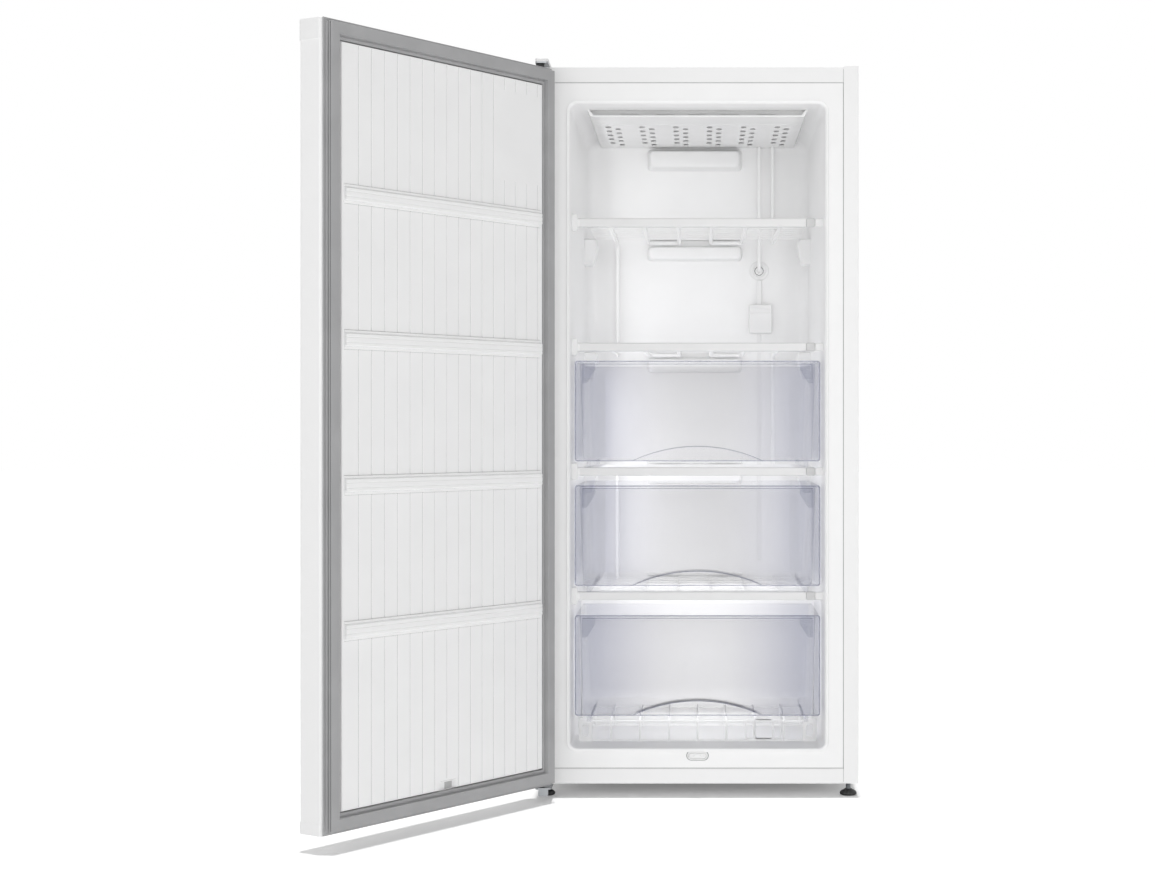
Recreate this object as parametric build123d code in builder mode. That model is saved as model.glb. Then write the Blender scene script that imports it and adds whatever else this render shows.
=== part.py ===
from build123d import *
import math
import os

# An upright freezer with a full-height door, standing open, in millimetres.
# X runs to the viewer's right, -Y towards the viewer and Z up. The origin is on the floor,
# under the centre of the cabinet's footprint.

# ---- Cabinet ----
cabinet_width = 600.0
cabinet_depth = 590.0
cabinet_top = 1360.0
underside = 26.0  # the cabinet's bottom edge above the floor
sheet = 0.8  # painted steel of the cabinet and the door skin
side_rise = 2.5  # the side panels stand this much above the top panel
side_hem = 27.6  # front edge of a side panel, folded inwards
rear_hem = 15.0
top_band = 28.0  # front edge of the top panel, folded down
bottom_band = 27.0  # front edge of the bottom pan, folded up
hem_gap = 0.6  # dark joint between the bands and the side hems

# ---- Liner, the moulded inside of the cabinet ----
liner_wall = 2.0
liner_setback = 1.0  # the liner's front flange lies behind the hems
side_insulation = 60.5  # wall of the cabinet beside the opening
floor_insulation = 63.0  # under the opening, above the cabinet's bottom edge
ceiling_insulation = 66.0
rear_insulation = 62.0
opening_corner = 15.0
liner_draft = 4.5  # each side wall leans in by this much at the back
seat = 0.3  # room between pieces that sit or slide on each other

# ---- Machine compartment at the bottom of the back ----
machine_depth = 215.0
machine_top = 300.0
hump_insulation = 44.0
pan_thickness = 1.0

# ---- Shelves, which are also the cooling coil ----
shelf_count = 4
lowest_shelf_rise = 282.0  # above the liner's floor
shelf_pitch = 235.2
rail_height = 16.0
rail_depth = 10.0
rail_setback = 55.0  # behind the cabinet's front
rail_left_room = 13.5  # between the rail's end and the liner's opening
rail_right_room = 34.5
rail_ledge = 14.0
rail_rounding = 2.5
clip_height = 33.6
clip_bevel = 4.0
clip_lip = 2.0  # the left clips stand this far ahead of the rail
tube_radius = 4.0
tube_sides = 6
fixing_sides = 8  # small round fixings that don't turn have this many flat sides
round_sides = 16  # a full turn of a small moulded corner
tube_bend = 14.0
run_count = 6
coil_left_room = 71.5  # between the first run and the liner's opening
coil_right_room = 81.5
coil_front = 72.0  # behind the cabinet's front
coil_tuck = 2.0  # how far the rear bends' centre lies inside the bosses
coil_tail = 18.0  # the coil's two ends stop this much short of its rear bends
riser_room = 15.0  # between the risers and the back wall
wire_radius = 1.25
wire_count = 9
wire_first = 100.0
wire_back_room = 32.0  # last wire ahead of the coil's ends
wire_end_room = 27.5

# ---- Bosses and brackets moulded on the liner ----
boss_left = -106.0
boss_right = 94.0
boss_height = 47.0
boss_projection = 28.0
boss_slot_height = 12.0
boss_slot_depth = 15.0
boss_rise = 10.4  # top of the boss above the coil's centre
top_boss_gap = 2.0
bracket_depth = 40.0
bracket_back_room = 54.0
bracket_reach = 30.0
bracket_root = 52.0
bracket_waist = 4.0

# ---- Ceiling cover ----
cover_side_room = 29.5
cover_setback = 73.0
cover_drop = 15.0  # under the liner's ceiling
cover_thickness = 2.0
cover_rim = 14.0
slot_groups = 6
slot_side_room = 43.75  # outermost pair of columns from the cover's side
slot_column_pitch = 18.6
slot_rows = 5
slot_back_room = 57.0  # last row from the liner's back
slot_first_row = 216.0
slot_stagger = 27.0
slot_length = 26.0
slot_width = 10.5
plate_side_room = 24.0  # inside the cover's sides
plate_front = 110.0
plate_back_room = 13.0
plate_thickness = 1.6
channel_count = 7
channel_side_room = 24.0
channel_width = 12.0
channel_height = 5.0
channel_angle = 60.0

# ---- Pipes, sensor and drain on the liner ----
pipe_spacing = 28.0  # between the suction and the supply pipes
pipe_clearance = 1.0
grommet_z = 1020.0
grommet_radius = 21.0
grommet_sides = 24
grommet_thickness = 4.0
grommet_depth = 14.0  # how far the suction pipe runs into the back wall
trim_chamfer = 2.0
sensor_width = 48.0
sensor_height = 60.0
sensor_shift = 3.0  # to the right of the suction pipe
sensor_duct_length = 51.0
sensor_depth = 18.0
sensor_duct = 10.0
drain_clearance = 1.0  # between the drain pipe and the liner's floor
drain_width = 39.0
drain_height = 16.0
drain_lip = 3.0  # how far the rim stands proud
drain_wall = 2.6
drain_length = 34.0
plug_length = 28.0
plug_tab_width = 12.0
plug_tab_reach = 3.0
plug_tab_height = 3.0

# ---- Wire rack on the liner's floor ----
rack_front = 100.0
rack_back_room = 19.0  # ahead of the step in the liner's floor
rack_height = 45.0
rack_side_room = 25.5
rack_wire = 2.0  # radius
rack_pitch = 55.0
rack_uprights = 7
rack_clip_width = 26.0
rack_clip_wall = 3.0
rack_clip_window = 7.0

# ---- Drawers ----
drawer_setback = 50.0
drawer_side_room = 8.0
drawer_height = 189.5
drawer_wall = 2.4
drawer_bracket_room = 4.0  # between a drawer's rim and the wall brackets
drawer_step_room = 8.0  # between the lowest drawer's rim and the floor's step
drawer_ear = 6.5  # the front is wider than the body by this much each side
drawer_draft = 7.0
drawer_front_corner = 5.0
drawer_skid = 11.0
drawer_skid_width = 8.0
skid_inset = 20.0  # from the body's side
drawer_rim = 5.0
drawer_rim_height = 3.0
arch_width = 244.0
arch_height = 27.0
scoop_depth = 34.0

# ---- Door, drawn closed and then turned about its hinge pins ----
door_angle = 124.0
door_side_gap = 1.0  # the door is narrower than the cabinet by this much each side
door_bottom_gap = 3.0  # above the cabinet's bottom edge
door_top_gap = 8.0  # under the cabinet's top
door_inner_gap = 15.2  # the door's inner face ahead of the cabinet's front
door_thickness = 51.3
door_return = 16.0
door_corner = 6.0
top_cap_height = 35.0
bottom_cap_height = 20.0
cap_oversize = 1.0
cap_wall = 3.0
cap_chamfer = 1.5
door_liner_wall = 2.0
plateau_height = 8.0
plateau_bevel = 3.0
first_rib = 50.0  # from the hinge side
last_rib = 76.4  # from the free side
rib_count = 16
rib_width = 2.4
rib_depth = 1.1
rib_end = 6.0
moulding_inset = 6.0  # ends inside the raised field
moulding_step = 2.0
moulding_ledge = 4.5
moulding_slope = 2.5
moulding_count = 4
lowest_moulding = 357.4
moulding_pitch = 237.4
moulding_height = 31.0
moulding_projection = 5.4
blank_height = 161.0  # smooth field beside the hinge, where the ribs are left out
blank_drop = 24.9  # under the raised field's top
blank_ribs = 4
notch_width = 40.0
notch_height = 14.0

# ---- Gasket ----
gasket_inset = 7.0
gasket_width = 27.5
gasket_gap = 0.6
gasket_foot = 4.0
gasket_head = 18.5
gasket_lip = 5.5
bellows_depth = 3.0
bellows_height = 4.0
magnet_width = 10.0
magnet_thickness = 2.4

# ---- Handle cup in the door's outer face ----
cup_width = 46.0
cup_height = 150.0
cup_depth = 24.0
cup_wall = 2.0
cup_inset = 16.0
cup_z = 780.0
cup_flange = 5.0
cup_flange_thickness = 1.2
cup_corner = 12.0

# ---- Hinges ----
pivot_inset = 9.5  # hinge pins from the cabinet's side
pivot_ahead = 34.0  # hinge pins ahead of the cabinet's front
pin_radius = 4.0
running_fit = 0.05
pin_depth = 16.0  # how far a pin reaches into the door
hinge_plate = 3.0
hinge_reach = 16.0  # bracket beyond the pin
hinge_leaf = 62.0
upper_arm = 24.0
lower_arm = 30.0
hinge_rounding = 6.0
hinge_lip = 15.0
screw_setbacks = (14.0, 50.0)
screw_radius = 2.0
screw_length = 14.0
screw_head_radius = 4.0
screw_head = 2.2
bush_radius = 6.5
collar_radius = 8.0
hinge_cover_height = 6.0
hinge_cover_wall = 1.6
hinge_cover_chamfer = 1.0
pin_head_radius = 6.0
pin_head = 2.0

# ---- Feet and rollers ----
foot_radius = 16.0
foot_taper = 14.0  # degrees
foot_height = 12.0
foot_sides = 12
foot_inset = 17.0
foot_setback = 32.0
stud_radius = 5.0
stud_length = 36.0
leg_bush_radius = 11.0
leg_bush_height = 22.0
roller_radius = 19.0
roller_width = 18.0
roller_inset = 38.0
roller_sides = 40
roller_from_back = 42.0
axle_radius = 4.0
fork_gap = 1.0
fork_plate = 2.5
fork_length = 30.0
fork_drop = 7.0  # cheek below the axle's centre
fork_clearance = 2.0

# ---- Machinery ----
rail_plate = 2.5  # compressor carrier
carrier_front = 180.0  # in front of the cabinet's back
carrier_back = 14.0
carrier_lip = 32.0
compressor_x = -70.0
compressor_from_back = 98.0
compressor_radius = 72.0
compressor_height = 152.0
compressor_seam = 66.0
compressor_foot = 3.0
compressor_foot_margin = 12.0
compressor_shoulder = 26.0
shell_sides = 24
compressor_seam_rim = 3.0
compressor_seam_height = 5.0
mount_height = 14.0
mount_radius = 10.0
mount_half_x = 74.0
mount_half_y = 50.0
relay_width = 52.0
relay_depth = 34.0
relay_height = 58.0
relay_z = 62.0
relay_rounding = 4.0
pipe_radius = 3.2
pipe_bend = 12.0
pipe_setback = 18.0  # behind the step of the bottom pan
discharge_x = -200.0
discharge_z = 120.0
suction_z = 96.0
dryer_radius = 10.0
dryer_length = 90.0
dryer_x = 120.0
dryer_bottom = 130.0
capillary_z = 92.0
gland_radius = 8.0
gland_bore = 4.0
gland_length = 20.0
gland_from_roller = 57.0
gland_z = 44.0
condenser_runs = 4
condenser_pitch = 110.0
condenser_drop = 80.0  # under the cabinet's top
condenser_radius = 2.5
condenser_bend = 14.0
condenser_bottom = 380.0

# ---- Worked out from the sizes above ----
half_width = cabinet_width / 2
front = -cabinet_depth / 2
back = cabinet_depth / 2
inner_half = half_width - sheet
flange_front = front + liner_setback
flange_back = flange_front + liner_wall
opening_half_width = half_width - side_insulation
opening_bottom = underside + floor_insulation
opening_top = cabinet_top - ceiling_insulation
liner_depth = cabinet_depth - rear_insulation
liner_back = front + liner_depth
liner_middle = (opening_bottom + opening_top) / 2
opening_height = opening_top - opening_bottom
machine_front = back - machine_depth
hump_front = machine_front - hump_insulation
hump_top = machine_top + hump_insulation
back_sheet = back - sheet
foam_back = back_sheet - sheet
hump_setback = hump_front - front
shelf_levels = [opening_bottom + lowest_shelf_rise + i * shelf_pitch for i in range(shelf_count)]
first_run = -opening_half_width + coil_left_room
last_run = opening_half_width - coil_right_room
run_pitch = (last_run - first_run) / (run_count - 1)
run_xs = [first_run + i * run_pitch for i in range(run_count)]
coil_back = liner_depth - boss_projection + coil_tuck
coil_end = coil_back - coil_tail
riser_setback = liner_depth - riser_room - tube_radius
wire_pitch = (coil_end - wire_back_room - wire_first) / (wire_count - 1)
wire_right = opening_half_width - wire_end_room
bracket_back = liner_depth - bracket_back_room
bracket_front = bracket_back - bracket_depth
rail_front = front + rail_setback
rail_left = -opening_half_width + rail_left_room
rail_right = opening_half_width - rail_right_room
cover_half_width = opening_half_width - cover_side_room
cover_underside = opening_top - cover_drop
slot_group_pitch = 2 * (cover_half_width - slot_side_room) / (slot_groups - 1)
slot_reach = liner_depth - slot_back_room - slot_stagger - slot_first_row
slot_row_pitch = slot_reach / (slot_rows - 1)
plate_half_width = cover_half_width - plate_side_room
plate_back = liner_depth - plate_back_room
channel_pitch = 2 * (plate_half_width - channel_side_room) / (channel_count - 1)
pipe_hole = tube_radius + pipe_clearance
suction_x = last_run - pipe_spacing
sensor_middle = suction_x + sensor_shift
sensor_top = grommet_z - grommet_radius - sensor_duct_length
drain_z = opening_bottom - liner_wall - drain_clearance - drain_height / 2
rack_back = hump_setback - rack_back_room
rack_half_width = opening_half_width - rack_side_room
drawer_half_width = opening_half_width - drawer_side_room
drawer_body_half = drawer_half_width - drawer_ear
drawer_length = bracket_front - drawer_bracket_room - drawer_rim - drawer_setback
short_drawer_length = hump_setback - drawer_step_room - drawer_rim - drawer_setback
skid_x = drawer_body_half - skid_inset
drawer_front = front + drawer_setback
pivot_x = -half_width + pivot_inset
pivot_y = front - pivot_ahead
door_half_width = half_width - door_side_gap
door_bottom = underside + door_bottom_gap
door_top = cabinet_top - door_top_gap
door_inner = front - door_inner_gap
door_outer = door_inner - door_thickness
gasket_face = front - gasket_gap
plateau_face = door_inner + plateau_height
ring_half = door_half_width - gasket_inset
ring_bottom = door_bottom + gasket_inset
ring_top = door_top - gasket_inset
plateau_clear = gasket_inset + gasket_width + 2 * seat
plateau_half = door_half_width - plateau_clear
plateau_bottom = door_bottom + plateau_clear
plateau_top = door_top - plateau_clear
blank_top = plateau_top - blank_drop
blank_bottom = blank_top - blank_height
rib_pitch = (2 * door_half_width - first_rib - last_rib) / (rib_count - 1)
moulding_levels = [lowest_moulding + i * moulding_pitch for i in range(moulding_count)]
foot_x = half_width - foot_inset
foot_y = front + foot_setback
roller_x = half_width - roller_inset
roller_y = back - roller_from_back
gland_x = roller_x - gland_from_roller
condenser_length = cabinet_top - condenser_drop - condenser_bottom
rack_top = opening_bottom + rack_height
door_seat = door_inner - door_liner_wall  # where the door's liner lies on its skin and caps
door_middle = (door_bottom + door_top) / 2
skin_bottom = door_bottom + bottom_cap_height
skin_top = door_top - top_cap_height
gasket_height = gasket_face - door_inner
carrier_y = (back - carrier_front, back - carrier_back)
carrier_top = underside + rail_plate
compressor_y = back - compressor_from_back
compressor_bottom = carrier_top + mount_height + compressor_foot
pipe_y = machine_front + pipe_setback
axle_z = roller_radius
fork_half = roller_width / 2 + fork_gap
arm_left = -inner_half + seat
arm_front = pivot_y - hinge_reach
plate_over = cabinet_top + hinge_plate
plate_under = underside - hinge_plate
hinge_axis = Axis((pivot_x, pivot_y, 0), (0, 0, 1))

os.makedirs("parts", exist_ok=True)


def block(low, high, mode=Mode.ADD):
    """A block between its lowest and highest corners."""
    with Locations(tuple((a + b) / 2 for a, b in zip(low, high))):
        Box(*[b - a for a, b in zip(low, high)], mode=mode)


def folded_section(points, thickness, bend=0.0):
    """The section of folded sheet whose outer face follows the points, with the metal on their right."""
    with BuildSketch() as section:
        with BuildLine():
            outer_face = FilletPolyline(*points, radius=bend) if bend else Polyline(*points)
            offset(outer_face, amount=thickness, side=Side.RIGHT, kind=Kind.INTERSECTION)
        make_face()
    return section.sketch


def oval(width, height):
    """An oval outline whose round ends have a few flat sides."""
    with BuildSketch() as outline:
        with GridLocations(width - height, 1, 2, 1):
            RegularPolygon(radius=height / 2, side_count=round_sides)
        Rectangle(width - height, height)
    return outline.sketch


def soft_rectangle(width, height, corner):
    """A rectangle whose rounded corners have a few flat sides each."""
    with BuildSketch() as outline:
        with GridLocations(width - 2 * corner, height - 2 * corner, 2, 2):
            RegularPolygon(radius=corner, side_count=round_sides)
        Rectangle(width - 2 * corner, height)
        Rectangle(width, height - 2 * corner)
    return outline.sketch


def round_hole(radius, sides):
    """A many-sided hole that clears a round thing of this radius."""
    with BuildSketch() as outline:
        RegularPolygon(radius=radius, side_count=sides, major_radius=False)
    return outline.sketch


def bent_tube(points, radius, bend, sides):
    """Tube of a few flat sides along straight runs, with each bend taken in two mitred steps."""
    route = [Vector(*points[0])]
    for before, corner, after in zip(points, points[1:], points[2:]):
        middle = Vector(*corner)
        for neighbour in (before, after):
            route.append(middle + (Vector(*neighbour) - middle).normalized() * bend)
    route.append(Vector(*points[-1]))
    with BuildPart() as tube:
        with BuildLine() as centre_line:
            Polyline(*route)
        with BuildSketch(centre_line.line ^ 0):
            RegularPolygon(radius=radius, side_count=sides)
        sweep(transition=Transition.RIGHT)
    return tube.part


def save(builder, name):
    """Name a finished piece and write it to its own file."""
    builder.part.label = name
    export_step(builder.part, f"parts/{name}.step")


def hang(builder, name):
    """Turn a door piece from the closed door to the open one, then save it."""
    builder.part = builder.part.rotate(hinge_axis, -door_angle)
    save(builder, name)


# ============================ Hinge screws ============================

# They come first, because the sheets and plates that they pass through are cut with them.
with BuildPart() as hinge_screws:
    for arm, seat_z, outward in ((upper_arm, plate_over, 1), (lower_arm, plate_under, -1)):
        screw_places = [(arm_left + arm / 2, front + setback) for setback in screw_setbacks]
        with BuildSketch(Plane.XY.offset(seat_z)):
            with Locations(*screw_places):
                RegularPolygon(radius=screw_head_radius, side_count=6)
        extrude(amount=outward * screw_head)
        with BuildSketch(Plane.XY.offset(seat_z)):
            with Locations(*screw_places):
                RegularPolygon(radius=screw_radius, side_count=6)
        extrude(amount=-outward * screw_length)
save(hinge_screws, "hinge_screws")


# ============================ Cabinet shell ============================

# Side panel: one sheet, folded inwards at the front and the back.
side_fold = [
    (-half_width + side_hem, front),
    (-half_width, front),
    (-half_width, back),
    (-half_width + rear_hem, back),
]
with BuildPart() as side_panel_left:
    with BuildSketch(Plane.XY.offset(underside)):
        add(folded_section(side_fold, sheet))
    extrude(amount=cabinet_top + side_rise - underside)
    fold_edges = side_panel_left.edges().filter_by(Axis.Z).group_by(Axis.X)[0]
    fillet(fold_edges, radius=2 * sheet)
with BuildPart() as side_panel_right:
    mirror(side_panel_left.part, about=Plane.YZ)
with BuildPart() as notched_panel:
    add(side_panel_left.part)
    # The upper hinge passes through a notch in the front edge.
    block(
        (-inner_half, front, cabinet_top),
        (arm_left + upper_arm + seat, front + sheet, cabinet_top + side_rise),
        mode=Mode.SUBTRACT,
    )
save(notched_panel, "side_panel_left")
save(side_panel_right, "side_panel_right")

# Top panel: lies between the side panels, with a front band folded down between their hems.
band_half = half_width - side_hem - hem_gap
top_fold = [
    (front, cabinet_top - top_band),
    (front, cabinet_top),
    (foam_back, cabinet_top),
]
with BuildPart() as top_panel:
    with BuildSketch(Plane.YZ):
        add(folded_section(top_fold, sheet))
    extrude(amount=inner_half, both=True)
    for side in (-1, 1):
        inner, outer = sorted((side * band_half, side * half_width))
        block(
            (inner, front, cabinet_top - top_band),
            (outer, flange_front, cabinet_top),
            mode=Mode.SUBTRACT,
        )
    add(hinge_screws.part, mode=Mode.SUBTRACT)
save(top_panel, "top_panel")

# Bottom pan: front band, underside, and the step up and over the machine compartment.
pan_fold = [
    (foam_back, machine_top),
    (machine_front, machine_top),
    (machine_front, underside),
    (front, underside),
    (front, underside + bottom_band),
]
with BuildPart() as bottom_pan:
    with BuildSketch(Plane.YZ):
        add(folded_section(pan_fold, pan_thickness))
    extrude(amount=inner_half, both=True)
    for side in (-1, 1):
        inner, outer = sorted((side * band_half, side * half_width))
        block(
            (inner, front, underside),
            (outer, flange_front, underside + bottom_band),
            mode=Mode.SUBTRACT,
        )
        with BuildSketch(Plane.XY.offset(underside)):
            with Locations((side * foot_x, foot_y)):
                add(round_hole(stud_radius + seat, foot_sides))
        extrude(amount=pan_thickness, mode=Mode.SUBTRACT)
    add(hinge_screws.part, mode=Mode.SUBTRACT)
save(bottom_pan, "bottom_pan")

# Back panel: flat sheet inside the rear hems, above the machine compartment.
with BuildPart() as back_panel:
    block(
        (-inner_half, foam_back, machine_top - pan_thickness),
        (inner_half, back_sheet, cabinet_top - sheet),
    )
save(back_panel, "back_panel")


# ============================ Liner and insulation ============================

pan_top = underside + pan_thickness
pan_step = machine_front - pan_thickness  # front face of the step
pan_lid = machine_top + pan_thickness


def cavity(growth):
    """The space inside the liner, grown by a wall thickness, with its floor stepped over the machinery."""
    with BuildPart() as space:
        with BuildSketch(Plane.XZ.offset(-flange_front)):
            with Locations((0, liner_middle)):
                RectangleRounded(
                    2 * (opening_half_width + growth),
                    opening_height + 2 * growth,
                    opening_corner + growth,
                )
        with BuildSketch(Plane.XZ.offset(-liner_back - growth)):
            with Locations((0, liner_middle)):
                RectangleRounded(
                    2 * (opening_half_width - liner_draft + growth),
                    opening_height + 2 * growth,
                    opening_corner + growth,
                )
        loft(ruled=True)
        block(
            (-half_width, hump_front + growth, underside),
            (half_width, back, hump_top - growth),
            mode=Mode.SUBTRACT,
        )
    return space.part


liner_inside = cavity(0)
liner_outside = cavity(liner_wall)


def wall_at(setback):
    """Half the liner's width at a distance behind the cabinet's front."""
    reach = (setback - liner_setback) / (liner_depth - liner_setback)
    return opening_half_width - liner_draft * reach


def wall_bracket(level):
    """Tapered bracket on the left wall that carries a shelf's rear corner."""
    root = -wall_at(bracket_back) - liner_wall
    tip = -wall_at(bracket_back) + bracket_reach
    with BuildPart() as bracket:
        with BuildSketch(Plane.XZ.offset(-front - bracket_front)):
            with BuildLine():
                Polyline(
                    (root, level + tube_radius),
                    (tip, level + tube_radius),
                    (tip - bracket_waist, level - bracket_root / 2),
                    (tip - bracket_reach / 2, level - bracket_root),
                    (root, level - bracket_root),
                    close=True,
                )
            make_face()
        extrude(amount=bracket_front - bracket_back)
    return bracket.part


# Flange round the liner's mouth, behind the hems of the shell.
with BuildPart() as liner_flange:
    block(
        (-inner_half, flange_front, pan_top),
        (inner_half, flange_back, cabinet_top - sheet),
    )
    add(liner_inside, mode=Mode.SUBTRACT)

with BuildPart() as inner_liner:
    add(liner_outside)
    add(liner_inside, mode=Mode.SUBTRACT)
    # Bosses on the back wall: the lower ones take the coil's rear bends in a slot.
    for level in shelf_levels:
        boss_top = level + boss_rise
        boss_face = liner_back - boss_projection
        block(
            (boss_left, boss_face, boss_top - boss_height),
            (boss_right, liner_back, boss_top),
        )
        slot_floor = level - tube_radius - seat
        block(
            (boss_left, boss_face, slot_floor),
            (boss_right, boss_face + boss_slot_depth, slot_floor + boss_slot_height),
            mode=Mode.SUBTRACT,
        )
    block(
        (boss_left, liner_back - boss_projection, cover_underside - top_boss_gap - boss_height),
        (boss_right, liner_back, cover_underside - top_boss_gap),
    )
    for level in shelf_levels:
        add(wall_bracket(level))
        mirror(wall_bracket(level), about=Plane.YZ)
    # The lowest ones end on the floor's step.
    add(liner_outside, mode=Mode.INTERSECT)
    add(liner_flange.part)
    # Holes for the drain and for the suction pipe.
    with BuildSketch(Plane.XZ.offset(-flange_front)):
        with Locations((0, drain_z)):
            add(oval(drain_width, drain_height))
    extrude(amount=-liner_wall, mode=Mode.SUBTRACT)
    with BuildSketch(Plane.XZ.offset(-liner_back)):
        with Locations((suction_x, grommet_z)):
            add(round_hole(pipe_hole, fixing_sides))
    extrude(amount=-liner_wall, mode=Mode.SUBTRACT)
save(inner_liner, "inner_liner")

# Insulation: fills everything between the shell and the liner.
with BuildPart() as insulation_foam:
    block((-inner_half, flange_back, pan_top), (inner_half, foam_back, cabinet_top - sheet))
    add(liner_outside, mode=Mode.SUBTRACT)
    block((-inner_half, pan_step, pan_top), (inner_half, foam_back, pan_lid), mode=Mode.SUBTRACT)
    # Room for the drain pipe, the suction pipe and the bushes of the front feet.
    with BuildSketch(Plane.XZ.offset(-flange_back)):
        with Locations((0, drain_z)):
            add(oval(drain_width, drain_height))
    extrude(amount=-drain_length, mode=Mode.SUBTRACT)
    with BuildSketch(Plane.XZ.offset(-liner_back)):
        with Locations((suction_x, grommet_z)):
            add(round_hole(pipe_hole, fixing_sides))
    extrude(amount=-(grommet_depth + liner_wall), mode=Mode.SUBTRACT)
    add(hinge_screws.part, mode=Mode.SUBTRACT)
    for side in (-1, 1):
        with BuildSketch(Plane.XY.offset(pan_top)):
            with Locations((side * foot_x, foot_y)):
                RegularPolygon(radius=leg_bush_radius, side_count=fixing_sides)
        extrude(amount=leg_bush_height, mode=Mode.SUBTRACT)
        # Grooves for the condenser runs, and a shallow pocket round their bends.
        groove = 2 * condenser_radius + seat
        spread = (condenser_runs - 1) * condenser_pitch
        for k in range(condenser_runs):
            groove_y = -spread / 2 + k * condenser_pitch
            inner, outer = sorted((side * (inner_half - groove), side * inner_half))
            block(
                (inner, groove_y - groove / 2, condenser_bottom),
                (outer, groove_y + groove / 2, condenser_bottom + condenser_length),
                mode=Mode.SUBTRACT,
            )
        bend_room = groove + condenser_bend
        for end_z in (condenser_bottom, condenser_bottom + condenser_length - bend_room):
            block(
                (inner, -spread / 2 - groove / 2, end_z),
                (outer, spread / 2 + groove / 2, end_z + bend_room),
                mode=Mode.SUBTRACT,
            )
save(insulation_foam, "insulation_foam")

# Condenser: a tube loop behind each side panel, which warms the panel.
with BuildPart() as condenser_tubes:
    tube_x = inner_half - condenser_radius - seat / 2
    low = condenser_bottom + condenser_radius + seat / 2
    high = condenser_bottom + condenser_length - condenser_radius - seat / 2
    for side in (-1, 1):
        route = []
        for k in range(condenser_runs):
            run_y = -spread / 2 + k * condenser_pitch
            ends = (low, high) if k % 2 == 0 else (high, low)
            route += [(side * tube_x, run_y, ends[0]), (side * tube_x, run_y, ends[1])]
        add(bent_tube(route, condenser_radius, condenser_bend, tube_sides))
save(condenser_tubes, "condenser_tubes")


# ============================ Shelves ============================

ledge_top = -tube_radius - seat  # the ledge carries the coil
rail_section = [
    (0, -rail_height / 2),
    (0, rail_height / 2),
    (rail_depth, rail_height / 2),
    (rail_depth, ledge_top),
    (rail_depth + rail_ledge, ledge_top),
    (rail_depth + rail_ledge, -rail_height / 2),
]
for number, level in enumerate(reversed(shelf_levels), start=1):
    # The coil runs to and fro through the shelf, and both its ends are at the back.
    coil_points = []
    for k, x in enumerate(run_xs):
        rear = front + (coil_end if k in (0, run_count - 1) else coil_back)
        near = front + coil_front
        ends = (rear, near) if k % 2 == 0 else (near, rear)
        coil_points += [(x, ends[0], level), (x, ends[1], level)]
    with BuildPart() as shelf_coil:
        add(bent_tube(coil_points, tube_radius, tube_bend, tube_sides))
        # Wires welded across the runs carry the food.
        for k in range(wire_count):
            wire_y = front + wire_first + k * wire_pitch
            wire_z = level + tube_radius + wire_radius + seat / 2
            with BuildSketch(Plane.YZ.offset(-wire_right)):
                with Locations((wire_y, wire_z)):
                    Rectangle(2 * wire_radius, 2 * wire_radius)
            extrude(amount=2 * wire_right)
    save(shelf_coil, f"shelf_coil_{number}")

    # The white bar across the front, with a ledge under the coil's front bends.
    with BuildPart() as shelf_rail:
        with BuildSketch(Plane.YZ.offset(rail_left)):
            with BuildLine():
                Polyline(*[(rail_front + y, level + z) for y, z in rail_section], close=True)
            make_face()
            rounded = vertices().group_by(Axis.X)[0]
            fillet(rounded, radius=rail_rounding)
        extrude(amount=rail_right - rail_left)
    save(shelf_rail, f"shelf_rail_{number}")


# Clips on the side walls hold the bar's ends: a tall hook on the left, a stub on the right.
clip_wall = wall_at(rail_setback + rail_depth)
with BuildPart() as shelf_clips_left:
    for level in shelf_levels:
        with BuildSketch(Plane.XZ.offset(-rail_front + clip_lip)):
            with Locations(((-clip_wall + rail_left - seat) / 2, level)):
                Rectangle(clip_wall + rail_left - seat, clip_height)
            chamfer(vertices().group_by(Axis.X)[-1], clip_bevel)
        extrude(amount=-rail_depth - clip_lip)
save(shelf_clips_left, "shelf_clips_left")

with BuildPart() as shelf_clips_right:
    for level in shelf_levels:
        with BuildSketch(Plane.XZ.offset(-rail_front)):
            with Locations(((clip_wall + rail_right + seat) / 2, level)):
                Rectangle(clip_wall - rail_right - seat, rail_height)
        extrude(amount=-rail_depth)
save(shelf_clips_right, "shelf_clips_right")

# Risers join one shelf's coil to the next, by turns on the left and on the right.
riser_y = front + riser_setback
coil_tail_y = front + coil_end + seat
with BuildPart() as riser_tubes:
    for k, (upper, lower) in enumerate(zip(shelf_levels[:0:-1], shelf_levels[-2::-1])):
        x = first_run if k % 2 == 0 else last_run
        path = [(coil_tail_y, upper), (riser_y, upper), (riser_y, lower), (coil_tail_y, lower)]
        add(bent_tube([(x, y, z) for y, z in path], tube_radius, tube_bend, tube_sides))
    # The last coil leaves through the back wall.
    with BuildSketch(Plane.XZ.offset(-coil_tail_y)):
        with Locations((last_run, shelf_levels[0])):
            RegularPolygon(radius=tube_radius, side_count=tube_sides)
    extrude(amount=-(liner_back - coil_tail_y - seat))
save(riser_tubes, "riser_tubes")

plate_bottom = opening_top - seat - plate_thickness - channel_height
with BuildPart() as supply_tube:
    path = [
        (last_run, riser_y, plate_bottom - seat),
        (last_run, riser_y, shelf_levels[-1]),
        (last_run, coil_tail_y, shelf_levels[-1]),
    ]
    add(bent_tube(path, tube_radius, tube_bend, tube_sides))
save(supply_tube, "supply_tube")

with BuildPart() as suction_line:
    path = [
        (suction_x, riser_y, plate_bottom - seat),
        (suction_x, riser_y, grommet_z),
        (suction_x, liner_back + grommet_depth, grommet_z),
    ]
    add(bent_tube(path, tube_radius, tube_bend, tube_sides))
save(suction_line, "suction_line")

# ============================ Ceiling ============================

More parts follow.
